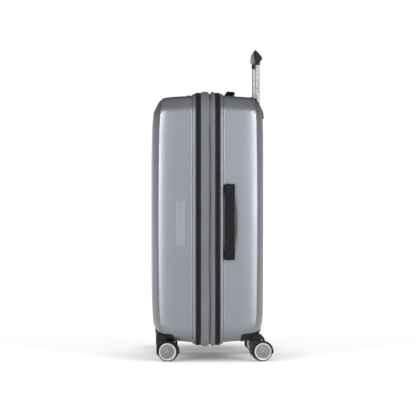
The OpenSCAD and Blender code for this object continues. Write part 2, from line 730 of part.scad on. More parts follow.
back_shell();
back_lining();
back_zip_tape();
expansion_gusset();
rear_corner_guards();
trolley_bezel();
trolley_cover();
trolley_outer_tubes();
trolley_base_bracket();
handle_sockets();
packing_straps();
strap_buckle();
rear_screws();
gusset_fabric();
frame_hoop();
frame_main_zip_tape();
frame_expansion_zip_tape();
hinge_binding();
front_shell();
front_lining();
lid_zip_tape();
front_corner_guards();
divider_panel();
badge_plate();
lock_housing();
front_screws();
lock_dial_1();
lock_dial_2();
lock_dial_3();
lock_button();
lock_key_plug();
zip_slider_right();
zip_slider_left();
zip_pull_right();
zip_pull_left();
expansion_slider();
trolley_middle_tubes();
middle_tube_bushes();
trolley_inner_tubes();
grip_front();
grip_back();
grip_button();
top_handle();
side_handle();
fork_front_right();
axle_front_right();
tyres_front_right();
hubs_front_right();
fork_front_left();
axle_front_left();
tyres_front_left();
hubs_front_left();
fork_rear_right();
axle_rear_right();
tyres_rear_right();
hubs_rear_right();
fork_rear_left();
axle_rear_left();
tyres_rear_left();
hubs_rear_left();
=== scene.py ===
import math

import bmesh
import bpy
import numpy as np
from mathutils import Matrix, Vector, noise


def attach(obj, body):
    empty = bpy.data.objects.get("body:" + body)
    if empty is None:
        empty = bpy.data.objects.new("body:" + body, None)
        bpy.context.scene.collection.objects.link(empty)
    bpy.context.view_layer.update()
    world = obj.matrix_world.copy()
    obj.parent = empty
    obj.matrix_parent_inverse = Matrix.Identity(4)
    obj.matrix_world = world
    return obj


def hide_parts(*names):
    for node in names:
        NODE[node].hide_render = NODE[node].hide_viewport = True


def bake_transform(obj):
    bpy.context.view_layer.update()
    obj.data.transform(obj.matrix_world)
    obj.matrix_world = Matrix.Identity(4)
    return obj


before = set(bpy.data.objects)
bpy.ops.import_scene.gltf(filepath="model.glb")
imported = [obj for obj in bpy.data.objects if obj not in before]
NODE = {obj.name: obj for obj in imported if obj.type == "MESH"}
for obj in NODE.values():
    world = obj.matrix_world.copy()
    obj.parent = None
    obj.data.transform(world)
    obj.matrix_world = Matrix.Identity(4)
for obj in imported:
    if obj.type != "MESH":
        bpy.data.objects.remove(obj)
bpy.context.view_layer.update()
scene = bpy.context.scene

# The case's own sizes, in metres, in the row frame
CASE_W, CASE_H, LIFT, CORNER, CREASE_R = 0.515, 0.725, 0.045, 0.056, 0.048
Z_TOP, Z_MID = LIFT + CASE_H, LIFT + CASE_H / 2
Y_MAIN, ZIP_W, GUSSET_W = -0.0409, 0.0142, 0.0415
Y_EXP = Y_MAIN + ZIP_W + GUSSET_W
WALL_V, CREASE_V, WALL_IN, DRAFT, SHELL_T = 0.0176, 0.113, 0.009, 0.008, 0.0026
WINDOW_V, WINDOW_X, WINDOW_S = 0.0894, 0.126, 0.0498
HINGE_X = -CASE_W / 2 - 0.0005


# ---- Mesh building ----
class Build:
    """Collects vertices, faces and UVs (metres along the surface) for one mesh."""

    def __init__(self):
        self.verts, self.faces, self.uvs = [], [], []

    def add(self, points):
        first = len(self.verts)
        self.verts += [tuple(p) for p in points]
        return first

    def face(self, ids, uv=None):
        self.faces.append(tuple(int(i) for i in ids))
        self.uvs.append(uv or [self.verts[int(i)][1:3] for i in ids])

    def grid(self, p, wrap=False, ring=False, u=None, v=None, skip=None):
        """p[row][column]; wrap closes the columns, and ring closes the rows."""
        rows, cols = p.shape[:2]
        first = self.add(p.reshape(-1, 3))
        for i in range(rows if ring else rows - 1):
            for j in range(cols if wrap else cols - 1):
                if skip and skip(i, j):
                    continue
                i2, j2 = (i + 1) % rows, (j + 1) % cols
                ids = [first + a * cols + b for a, b in ((i, j), (i, j2), (i2, j2), (i2, j))]
                uv = None
                if u is not None:
                    uv = [(u[b], v[a]) for a, b in ((i, j), (i, j + 1), (i + 1, j + 1), (i + 1, j))]
                self.face(ids, uv)
        return first

    def fan(self, ids, centre=None):
        pts = np.array([self.verts[i] for i in ids])
        c = self.add([centre if centre is not None else pts.mean(0)])
        for k in range(len(ids)):
            self.face([c, ids[k], ids[(k + 1) % len(ids)]])

    def caps(self, first, rows, n):
        """Closes the first and the last row of a wrapped grid."""
        for row in (0, rows - 1):
            self.fan([first + row * n + j for j in range(n)])

    def object(self, name, material=None, sharp=40, normals=True):
        me = bpy.data.meshes.new(name)
        me.from_pydata(self.verts, [], self.faces)
        layer = me.uv_layers.new(name="UVMap")
        flat = [c for face in self.uvs for c in face]
        layer.data.foreach_set("uv", np.array(flat, np.float32).ravel())
        if normals:
            bm = bmesh.new()
            bm.from_mesh(me)
            bmesh.ops.recalc_face_normals(bm, faces=bm.faces)
            bm.to_mesh(me)
            bm.free()
        me.shade_smooth()
        me.set_sharp_from_angle(angle=math.radians(sharp))
        ob = bpy.data.objects.new(name, me)
        scene.collection.objects.link(ob)
        if material:
            me.materials.append(material)
        return ob


def steps(*parts):
    """Joins (start, stop, count) spans into one increasing or decreasing list, without repeats."""
    out = []
    for a, b, n in parts:
        out += list(np.linspace(a, b, n + 1))[(1 if out else 0):]
    return out


ARC = 14


def outline(ix, it, ib, r, arc=ARC, side=90):
    """A rounded rectangle in XZ, anticlockwise from +X, with points at the trolley window's edges."""
    hx = CASE_W / 2 - ix - r
    zt, zb = Z_TOP - it - r, LIFT + ib + r
    edge = min(WINDOW_X, 0.9 * hx)
    a = np.radians(np.linspace(0, 90, arc + 1))
    across = np.array(steps((hx, edge, 6), (edge, -edge, 16), (-edge, -hx, 6)))[1:-1]
    up = np.linspace(zt, zb, side + 1)[1:-1]
    c, s = np.cos(a), np.sin(a)
    parts = [
        np.c_[hx + r * c, zt + r * s],
        np.c_[across, np.full(len(across), zt + r)],
        np.c_[-hx - r * s, zt + r * c],
        np.c_[np.full(len(up), -hx - r), up],
        np.c_[-hx - r * c, zb - r * s],
        np.c_[-across, np.full(len(across), zb - r)],
        np.c_[hx + r * s, zb - r * c],
        np.c_[np.full(len(up), hx + r), up[::-1]],
    ]
    return np.vstack(parts)


def pchip(x, xs, ys):
    """Monotone cubic interpolation."""
    xs, ys = np.array(xs, float), np.array(ys, float)
    h, d = np.diff(xs), np.diff(ys) / np.diff(xs)
    m = np.zeros(len(xs))
    for k in range(1, len(xs) - 1):
        if d[k - 1] * d[k] > 0:
            w1, w2 = 2 * h[k] + h[k - 1], h[k] + 2 * h[k - 1]
            m[k] = (w1 + w2) / (w1 / d[k - 1] + w2 / d[k])
    m[0], m[-1] = d[0], d[-1]
    k = int(np.clip(np.searchsorted(xs, x) - 1, 0, len(h) - 1))
    t = (x - xs[k]) / h[k]
    return (
        (1 + 2 * t) * (1 - t) ** 2 * ys[k] + t * (1 - t) ** 2 * h[k] * m[k]
        + t * t * (3 - 2 * t) * ys[k + 1] + t * t * (t - 1) * h[k] * m[k + 1]
    )


def smooth(t):
    t = np.clip(t, 0, 1)
    return t * t * (3 - 2 * t)


# ---- The shell's surface ----
FRONT = dict(dir=-1, y0=Y_MAIN, bevel=0.0197, bow=(0.004, 0.0093))
BACK = dict(dir=1, y0=Y_EXP, bevel=0.0225, bow=(0.003, 0.0043))
BEVEL_S = [0, 0.0096, 0.024, 0.0397, 0.0498, 0.06, 0.095, 0.17, 0.235]
BEVEL_P = [0, 0.33, 0.58, 0.8, 0.858, 0.886, 0.938, 0.986, 1.0]


def wall(v):
    """Station on the wall: (distance from the zip, insets at side, top and bottom, radius, sag)."""
    q = (v - WALL_V) / (CREASE_V - WALL_V)
    f = 0.62 * q + 0.38 * max(q, 0) ** 7
    r = CORNER - WALL_IN + (CREASE_R - CORNER + WALL_IN) * q
    return (v, WALL_IN + DRAFT * f, WALL_IN + (DRAFT - 0.001) * f, WALL_IN + (DRAFT + 0.0025) * f, r, q)


def bevel(half, s):
    """Station past the crease, s further in."""
    p = pchip(s, BEVEL_S, BEVEL_P)
    r = CREASE_R - 0.25 * s if s < 0.04 else CREASE_R - 0.010 + 0.5 * (s - 0.04)
    r = min(r, 0.985 * (CASE_W / 2 - WALL_IN - DRAFT - s))
    return (
        CREASE_V + p * half["bevel"], WALL_IN + DRAFT + s, WALL_IN + DRAFT - 0.001 + s,
        WALL_IN + DRAFT + 0.0025 + s, r, 1 - p,
    )


def rim(v, inset):
    return (v, inset, inset, inset, CORNER - inset, 0)


BEAD = [(0.0021, 0.0052), (0.0026, 0.0044), (0.0036, 0.004), (0.0132, 0.004), (0.0146, 0.0043),
        (0.0154, 0.0051), (0.0159, 0.0064), (0.0164, 0.0079), (0.0172, 0.0087), (0.0185, 0.00905)]
WALL_ROWS = steps((0.021, WINDOW_V, 24), (WINDOW_V, CREASE_V - 0.0004, 12), (CREASE_V - 0.0004, CREASE_V, 1))
BEVEL_ROWS = steps((0.0005, 0.003, 2), (0.003, 0.0397, 16), (0.0397, WINDOW_S, 3), (WINDOW_S, 0.11, 10),
                   (0.11, 0.232, 12))


def stations(half):
    return ([rim(v, i) for v, i in BEAD] + [wall(v) for v in WALL_ROWS]
            + [bevel(half, s) for s in BEVEL_ROWS])


def ring(half, st, t=0.0):
    """Points of the surface at a station, moved inwards by t."""
    v, ix, it, ib, r, q = st
    depth = t * float(smooth((v - CREASE_V + 0.004) / 0.008))
    p = outline(ix + t, it + t, ib + t, max(r - t, 0.003))
    zt, zb = Z_TOP - it - t, LIFT + ib + t
    k = np.abs(2 * p[:, 1] - zt - zb) / (zt - zb)
    y = half["y0"] + half["dir"] * (v - depth - q * (half["bow"][0] * k**2 + half["bow"][1] * k**10))
    return np.c_[p[:, 0], y, p[:, 1]]


HANDLE_V, HANDLE_Z = 0.0328, 0.399
RECESS_V, RECESS_HALF, RECESS_DEPTH, RECESS_FROM_X = 0.0400, (0.0200, 0.088), 0.0030, 0.22


def finger_recess(p):
    """Presses the shallow hollow behind the side handle into the +X wall."""
    v, z = p[..., 1] - Y_EXP, p[..., 2]
    a = np.sqrt(((v - RECESS_V) / RECESS_HALF[0]) ** 2 + (np.abs(z - HANDLE_Z) / RECESS_HALF[1]) ** 2.2)
    depth = RECESS_DEPTH * smooth((1 - a) / 0.62)
    out = p.copy()
    out[..., 0] -= np.where(p[..., 0] > RECESS_FROM_X, depth, 0)
    return out


def shell(name, half, material, window=False):
    """One half as a closed skin, with the trolley's window in its top when asked."""
    st = stations(half)
    outer = np.array([ring(half, s) for s in st])
    inner = np.array([ring(half, s, SHELL_T) for s in st])
    if window:
        outer, inner = finger_recess(outer), finger_recess(inner)
    first = len(BEAD) + WALL_ROWS.index(WINDOW_V)
    last = len(BEAD) + len(WALL_ROWS) + next(i for i, s in enumerate(BEVEL_ROWS) if abs(s - WINDOW_S) < 1e-9)
    cols = outer.shape[1]
    lo, hi = ARC + 6, ARC + 22

    def hole(i, j):
        return window and first <= i < last and lo <= j < hi

    b = Build()
    length = np.r_[0, np.cumsum(np.linalg.norm(np.diff(np.vstack([outer[20], outer[20][:1]]), axis=0), axis=1))]
    rise = np.r_[0, np.cumsum(np.linalg.norm(np.diff(outer[:, 0], axis=0), axis=1))]
    o = b.grid(outer, wrap=True, u=length, v=rise, skip=hole)
    i0 = b.grid(inner, wrap=True, u=length, v=rise, skip=hole)
    rows = len(st)
    for j in range(cols):
        k = (j + 1) % cols
        b.face([o + j, o + k, i0 + k, i0 + j])
    b.fan([o + (rows - 1) * cols + j for j in range(cols)])
    b.fan([i0 + (rows - 1) * cols + j for j in range(cols)])
    if window:
        loop = [(first, j) for j in range(lo, hi)] + [(i, hi) for i in range(first, last)]
        loop += [(last, j) for j in range(hi, lo, -1)] + [(i, lo) for i in range(last, first, -1)]
        for n, (i, j) in enumerate(loop):
            i2, j2 = loop[(n + 1) % len(loop)]
            a, c = i * cols + j, i2 * cols + j2
            b.face([o + a, o + c, i0 + c, i0 + a])
    return b.object(name, material, sharp=30)


# ---- Bands round the case ----
def band_path(arc=16, side=60, across=44):
    """(point, outward direction, length along) round the band's outline, anticlockwise from +X."""
    r = CORNER
    hx, zt, zb = CASE_W / 2 - r, Z_TOP - r, LIFT + r
    pts, out = [], []
    for cx, cz, a0, (ex, ez), n in (
        (hx, zt, 0, (-hx, zt), across), (-hx, zt, 90, (-hx, zb), side),
        (-hx, zb, 180, (hx, zb), across), (hx, zb, 270, (hx, zt), side),
    ):
        for a in np.radians(np.linspace(a0, a0 + 90, arc + 1)):
            pts.append((cx + r * math.cos(a), cz + r * math.sin(a)))
            out.append((math.cos(a), math.sin(a)))
        a = math.radians(a0 + 90)
        d = (math.cos(a), math.sin(a))
        p, q = np.array(pts[-1]), np.array([ex + r * d[0], ez + r * d[1]])
        for t in np.linspace(0, 1, n + 1)[1:-1]:
            pts.append(tuple(p + (q - p) * t))
            out.append(d)
    pts, out = np.array(pts), np.array(out)
    along = np.r_[0, np.cumsum(np.linalg.norm(np.diff(np.vstack([pts, pts[:1]]), axis=0), axis=1))]
    return pts, out, along


PATH = band_path()


def sweep(section, wave=None):
    """Sweeps a closed section [(y, outset)] round the band's outline. wave(along, y, outset) moves it."""
    pts, out, along = PATH
    sec = np.array(section, float)
    rows = []
    for y, h in sec:
        hh, yy = np.full(len(pts), h), np.full(len(pts), y)
        if wave is not None:
            dh, dy = wave(along[:-1], y, h)
            hh, yy = hh + dh, yy + dy
        rows.append(np.c_[pts[:, 0] + out[:, 0] * hh, yy, pts[:, 1] + out[:, 1] * hh])
    rise = np.r_[0, np.cumsum(np.linalg.norm(np.diff(np.vstack([sec, sec[:1]]), axis=0), axis=1))]
    return np.array(rows), along, rise


def band(name, section, material, wave=None, sharp=50):
    rows, along, rise = sweep(section, wave)
    b = Build()
    b.grid(rows, wrap=True, ring=True, u=along, v=rise)
    return b.object(name, material, sharp=sharp)


def round_noise(along, waves, seed):
    """Noise that closes on itself round the band."""
    a = along / PATH[2][-1] * 2 * math.pi
    r = waves / (2 * math.pi)
    return np.array([noise.noise(Vector((r * math.cos(t), r * math.sin(t), seed * 5.7))) for t in a])


# ---- Lofts ----
def superellipse(w, h, n=32, p=4.0):
    t = np.linspace(0, 2 * math.pi, n, endpoint=False)
    c, s = np.cos(t), np.sin(t)
    return np.c_[w / 2 * np.sign(c) * np.abs(c) ** (2 / p), h / 2 * np.sign(s) * np.abs(s) ** (2 / p)]


def place(points, m):
    p = np.asarray(points, float)
    a = np.array(m, float)
    return p @ a[:3, :3].T + a[:3, 3]


def lathe(b, profile, m, n=72):
    """Revolves [(x, radius)] about the local X axis. UVs are the local (y, z)."""
    rows = []
    for x, r in profile:
        a = np.linspace(0, 2 * math.pi, n, endpoint=False)
        rows.append(np.c_[np.full(n, x), r * np.cos(a), r * np.sin(a)])
    rows = np.array(rows)
    first = b.add(place(rows.reshape(-1, 3), m))
    flat = rows.reshape(-1, 3)
    for i in range(len(profile)):
        i2 = (i + 1) % len(profile)
        for j in range(n):
            j2 = (j + 1) % n
            ids = [i * n + j, i * n + j2, i2 * n + j2, i2 * n + j]
            b.face([first + k for k in ids], [(flat[k][1], flat[k][2]) for k in ids])


# ---- Materials ----
class Shader:
    """A Principled material whose nodes are added by kind, with inputs as values or sockets."""

    def __init__(self, name):
        self.mat = bpy.data.materials.new(name)
        self.mat.use_nodes = True
        self.tree = self.mat.node_tree
        self.bsdf = next(n for n in self.tree.nodes if n.type == "BSDF_PRINCIPLED")

    def set(self, node, key, value):
        socket = node.inputs[key]
        if isinstance(value, bpy.types.NodeSocket):
            self.tree.links.new(value, socket)
        else:
            socket.default_value = value

    def add(self, kind, inputs=None, out=0, **props):
        n = self.tree.nodes.new("ShaderNode" + kind)
        for k, v in props.items():
            setattr(n, k, v)
        for k, v in (inputs or {}).items():
            self.set(n, k, v)
        return n.outputs[out]

    def mul(self, a, b):
        return self.math("MULTIPLY", a, b)

    def math(self, op, a, b=0.0, clamp=False):
        return self.add("Math", {0: a, 1: b}, operation=op, use_clamp=clamp)

    def coord(self, which="Object"):
        n = self.tree.nodes.new("ShaderNodeTexCoord")
        return n.outputs[which]

    def noise(self, vector, scale, detail=3.0, rough=0.55):
        return self.add("TexNoise", {"Vector": vector, "Scale": scale, "Detail": detail, "Roughness": rough})

    def mapped(self, vector, scale):
        return self.add("Mapping", {"Vector": vector, "Scale": scale})

    def span(self, value, a, b, c, d):
        return self.add("MapRange", {"Value": value, "From Min": a, "From Max": b, "To Min": c, "To Max": d})

    def mix(self, factor, a, b):
        n = self.tree.nodes.new("ShaderNodeMix")
        n.data_type = "RGBA"
        self.set(n, 0, factor)
        self.set(n, 6, a)
        self.set(n, 7, b)
        return n.outputs[2]

    def bump(self, height, strength, distance):
        return self.add("Bump", {"Height": height, "Strength": strength, "Distance": distance})

    def principled(self, **values):
        for k, v in values.items():
            self.set(self.bsdf, k.replace("_", " "), v)
        return self.mat


def rgb(*c):
    return (*c, 1.0)


def shell_material():
    """Silver moulded shell: fine flake, a faint grain and a few scuffs."""
    s = Shader("silver_shell")
    at = s.coord()
    broad = s.noise(at, 5.0, 2.0)
    flake = s.noise(at, 2600.0, 1.0)
    grain = s.noise(at, 520.0, 4.0)
    scuff = s.noise(s.mapped(at, (3.0, 3.0, 0.7)), 22.0, 6.0, 0.72)
    mark = s.span(scuff, 0.66, 0.70, 0.0, 1.0)
    colour = s.mix(s.span(flake, 0.35, 0.65, 0.0, 1.0), rgb(0.196, 0.204, 0.227), rgb(0.236, 0.245, 0.272))
    colour = s.mix(s.span(broad, 0.3, 0.7, 0.0, 0.35), colour, rgb(0.218, 0.227, 0.248))
    colour = s.mix(s.mul(mark, 0.16), colour, rgb(0.33, 0.335, 0.35))
    rough = s.span(broad, 0.3, 0.7, 0.33, 0.37)
    rough = s.math("ADD", rough, s.mul(mark, 0.08))
    return s.principled(
        Base_Color=colour, Metallic=0.62, Roughness=rough, Normal=s.bump(grain, 0.16, 0.0004),
        Specular_IOR_Level=0.35,
    )


def plastic_material(name, low, high, rough=0.45, bump=0.25, metallic=0.0, shine=0.2):
    s = Shader(name)
    at = s.coord()
    grain = s.noise(at, 900.0, 3.0)
    broad = s.noise(at, 14.0, 3.0)
    worn = s.span(s.noise(at, 60.0, 6.0, 0.7), 0.62, 0.72, 0.0, 1.0)
    colour = s.mix(broad, rgb(*low), rgb(*high))
    colour = s.mix(s.mul(worn, 0.25), colour, rgb(*[min(1, c * 2 + 0.02) for c in high]))
    return s.principled(
        Base_Color=colour, Metallic=metallic, Roughness=s.span(broad, 0.3, 0.7, rough - 0.04, rough + 0.06),
        Normal=s.bump(grain, bump, 0.0004), Specular_IOR_Level=shine,
    )


def weave(s, uv, pitch):
    """(height, over) of a plain weave whose threads are pitch apart, from UVs in metres."""
    split = s.add("SeparateXYZ", {"Vector": uv})
    parts = split.node.outputs
    k = math.pi / pitch
    a = s.math("SINE", s.mul(parts[0], k))
    b = s.math("SINE", s.mul(parts[1], k))
    over = s.mul(a, b)
    return s.math("ABSOLUTE", over), over


def fabric_material(name, dark, light, pitch, rough=0.85, seams=None, sheen=0.25):
    s = Shader(name)
    uv = s.coord("UV")
    height, over = weave(s, uv, pitch)
    broad = s.noise(s.coord(), 9.0, 4.0)
    fuzz = s.noise(s.coord(), 700.0, 2.0)
    colour = s.mix(s.span(over, -0.6, 0.6, 0.0, 1.0), rgb(*dark), rgb(*light))
    colour = s.mix(s.span(broad, 0.3, 0.7, 0.0, 0.3), colour, rgb(*[0.75 * c for c in dark]))
    height = s.math("ADD", height, s.mul(fuzz, 0.5))
    if seams:
        at, period, tint = seams
        x, y = s.add("SeparateXYZ", {"Vector": uv}).node.outputs[:2]
        dash = s.math("LESS_THAN", s.math("FRACT", s.math("DIVIDE", x, period)), 0.62)
        line = None
        for pos in at:
            near = s.math("LESS_THAN", s.math("ABSOLUTE", s.math("SUBTRACT", y, pos)), 0.00045)
            line = near if line is None else s.math("MAXIMUM", line, near)
        stitch = s.mul(dash, line)
        colour = s.mix(stitch, colour, rgb(*tint))
        height = s.math("ADD", height, s.mul(stitch, 1.6))
    return s.principled(
        Base_Color=colour, Roughness=rough, Normal=s.bump(height, 0.5, 0.0004),
        Sheen_Weight=sheen, Sheen_Roughness=0.5, Specular_IOR_Level=0.2,
    )


def aluminium_material():
    """Drawn tube, with long soft streaks up it."""
    s = Shader("brushed_aluminium")
    at = s.coord()
    smear = s.noise(s.mapped(at, (60.0, 60.0, 4.0)), 1.0, 3.0)
    colour = s.mix(smear, rgb(0.28, 0.283, 0.29), rgb(0.32, 0.323, 0.33))
    return s.principled(
        Base_Color=colour, Metallic=0.85, Roughness=s.span(smear, 0.3, 0.7, 0.33, 0.37),
        Normal=s.bump(smear, 0.03, 0.0003),
    )


def metal_material(name, low, high, rough):
    s = Shader(name)
    at = s.coord()
    smear = s.noise(at, 80.0, 4.0)
    grain = s.noise(at, 1500.0, 2.0)
    return s.principled(
        Base_Color=s.mix(smear, rgb(*low), rgb(*high)), Metallic=0.9,
        Roughness=s.span(smear, 0.3, 0.7, rough - 0.05, rough + 0.07), Normal=s.bump(grain, 0.15, 0.0002),
    )


def hub_material():
    """A silver cap with a fine punched mesh inside its plain rim."""
    s = Shader("hub_cap")
    uv = s.coord("UV")
    x, y = s.add("SeparateXYZ", {"Vector": uv}).node.outputs[:2]
    radius = s.add("VectorMath", {0: uv}, out="Value", operation="LENGTH")
    pitch = 0.0027

    def cell(c, shift):
        f = s.math("FRACT", s.math("ADD", s.math("DIVIDE", c, pitch), 50.0 + shift))
        return s.math("SUBTRACT", f, 0.5)

    def dots(shift):
        a, b = cell(x, shift), cell(y, shift)
        return s.math("SQRT", s.math("ADD", s.mul(a, a), s.mul(b, b)))

    hole = s.math("LESS_THAN", dots(0.0), 0.27)
    inside = s.math("LESS_THAN", radius, 0.0185)
    outside_boss = s.math("GREATER_THAN", radius, 0.0052)
    mask = s.mul(hole, s.mul(inside, outside_boss))
    dust = s.noise(s.coord(), 60.0, 4.0)
    rim_ring = s.span(radius, 0.0196, 0.0204, 0.0, 1.0)
    groove = s.mul(s.math("GREATER_THAN", radius, 0.0188), s.math("LESS_THAN", radius, 0.0200))
    base = s.mix(dust, rgb(0.185, 0.188, 0.20), rgb(0.225, 0.228, 0.24))
    base = s.mix(rim_ring, base, rgb(0.46, 0.465, 0.48))
    base = s.mix(groove, base, rgb(0.07, 0.07, 0.075))
    colour = s.mix(mask, base, rgb(0.06, 0.06, 0.065))
    height = s.math("SUBTRACT", 1.0, mask)
    return s.principled(
        Base_Color=colour, Metallic=0.55, Roughness=s.span(dust, 0.3, 0.7, 0.30, 0.40),
        Normal=s.bump(height, 0.6, 0.0005),
    )


def tyre_material():
    s = Shader("tyre_rubber")
    at = s.coord()
    grain = s.noise(at, 600.0, 4.0)
    dust = s.span(s.noise(at, 40.0, 6.0, 0.7), 0.45, 0.75, 0.0, 1.0)
    colour = s.mix(dust, rgb(0.014, 0.014, 0.015), rgb(0.055, 0.053, 0.05))
    return s.principled(
        Base_Color=colour, Roughness=s.span(dust, 0.0, 1.0, 0.62, 0.85), Normal=s.bump(grain, 0.4, 0.0005),
    )


SHELL = shell_material()
BLACK = plastic_material("black_plastic", (0.006, 0.006, 0.0065), (0.013, 0.013, 0.014), 0.46)
DARK = plastic_material("dark_plastic", (0.03, 0.03, 0.032), (0.05, 0.05, 0.053), 0.5)
GREY = plastic_material("grey_plastic", (0.10, 0.10, 0.105), (0.15, 0.15, 0.155), 0.42)
RUBBER = plastic_material("handle_rubber", (0.005, 0.005, 0.0055), (0.010, 0.010, 0.0105), 0.6, 0.5, shine=0.12)
PLATE = plastic_material("plate_silver", (0.225, 0.233, 0.255), (0.25, 0.258, 0.282), 0.40, 0.1, 0.62)
TAPE = fabric_material("zip_tape", (0.005, 0.005, 0.006), (0.014, 0.014, 0.016), 0.0009, 0.85,
                       ((0.0052,), 0.0032, (0.045, 0.045, 0.047)), 0.04)
GUSSET = fabric_material("gusset_cloth", (0.118, 0.123, 0.139), (0.196, 0.203, 0.224), 0.0011, 0.8,
                         ((0.0022, 0.0445), 0.0034, (0.14, 0.143, 0.15)), 0.15)
LINING = fabric_material("lining_cloth", (0.10, 0.103, 0.11), (0.17, 0.174, 0.185), 0.0014, 0.75)
DIVIDER = fabric_material("divider_cloth", (0.035, 0.036, 0.04), (0.075, 0.077, 0.083), 0.0016, 0.8)
WEBBING = fabric_material("webbing", (0.008, 0.008, 0.009), (0.035, 0.035, 0.038), 0.0022, 0.7)
SLEEVE = fabric_material("sleeve_cloth", (0.11, 0.115, 0.125), (0.18, 0.185, 0.2), 0.0012, 0.85)
ALU = aluminium_material()
STEEL = metal_material("steel", (0.40, 0.40, 0.41), (0.58, 0.58, 0.6), 0.3)
GUNMETAL = metal_material("gunmetal", (0.05, 0.05, 0.055), (0.11, 0.11, 0.12), 0.36)
HUB = hub_material()
TYRE = tyre_material()


# ---- CAD nodes that keep their shape ----
def finish_cad(node, material, bevel_w=0.0, angle=40):
    o = NODE[node]
    o.data.materials.clear()
    o.data.materials.append(material)
    o.data.shade_smooth()
    w = o.modifiers.new("weld", "WELD")
    w.merge_threshold = 0.00002
    if bevel_w:
        d = o.modifiers.new("planar", "DECIMATE")
        d.decimate_type = "DISSOLVE"
        d.angle_limit = math.radians(1.5)
        m = o.modifiers.new("bevel", "BEVEL")
        m.width, m.segments = bevel_w, 2
        m.limit_method, m.angle_limit = "ANGLE", math.radians(angle)
        m.harden_normals = False
        t = o.modifiers.new("tris", "TRIANGULATE")
        t.min_vertices = 5
    e = o.modifiers.new("normals", "WEIGHTED_NORMAL")
    e.keep_sharp = True
    return o


CAD_LOOKS = {
    "trolley_bezel": (BLACK, 0.0009), "trolley_cover": (DARK, 0.0005), "trolley_base_bracket": (DARK, 0.0008),
    "trolley_outer_tubes": (ALU, 0), "trolley_middle_tubes": (ALU, 0), "trolley_inner_tubes": (ALU, 0),
    "middle_tube_bushes": (BLACK, 0.0004), "handle_sockets": (BLACK, 0.0010), "strap_buckle": (BLACK, 0.0012),
    "rear_screws": (STEEL, 0), "front_screws": (STEEL, 0), "frame_hoop": (DARK, 0),
    "lock_housing": (BLACK, 0.0008), "lock_dial_1": (GUNMETAL, 0.0003),
    "lock_dial_2": (GUNMETAL, 0.0003), "lock_dial_3": (GUNMETAL, 0.0003), "lock_button": (GUNMETAL, 0.0004),
    "lock_key_plug": (STEEL, 0.0002), "zip_slider_right": (GUNMETAL, 0.0003),
    "zip_slider_left": (GUNMETAL, 0.0003), "zip_pull_right": (BLACK, 0.0003), "zip_pull_left": (BLACK, 0.0003),
    "expansion_slider": (GUNMETAL, 0.0004), "grip_button": (DARK, 0.0008),
}
for corner in ("front_right", "front_left", "rear_right", "rear_left"):
    CAD_LOOKS["fork_" + corner] = (BLACK, 0.0009)
    CAD_LOOKS["axle_" + corner] = (STEEL, 0)
for node, (material, width) in CAD_LOOKS.items():
    finish_cad(node, material, width)


def piece(ob, body, *nodes, slot=None):
    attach(ob, body)
    if nodes:
        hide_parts(*nodes)
    return ob


# ---- Shells, guards ----
piece(shell("lid_shell", FRONT, SHELL), "lid", "front_shell", slot="shell")
piece(shell("rear_shell", BACK, SHELL, window=True), "base", "back_shell", slot="shell")

PIVOT_X = 0.208
PIVOT_Y = {"front": Y_MAIN - 0.1029, "rear": Y_EXP + 0.1098}
BOSS_Z, BOSS_TOP, BOSS_R = 0.0602, 0.0772, 0.0172
GUARD_EDGE = {
    "front": [(0.074, 0.0605), (0.0757, 0.071), (0.0828, 0.079), (0.097, 0.0798), (0.1083, 0.0813),
              (0.1195, 0.084), (0.1262, 0.0885)],
    "rear": [(0.0695, 0.064), (0.0725, 0.0766), (0.0782, 0.0793), (0.0916, 0.0809), (0.1038, 0.0826),
             (0.1197, 0.0861), (0.128, 0.0898)],
}


def guard_station(half, v):
    if v <= CREASE_V:
        return wall(v)
    p = (v - CREASE_V) / half["bevel"]
    s = np.interp(p, BEVEL_P, BEVEL_S)
    return bevel(half, float(s))


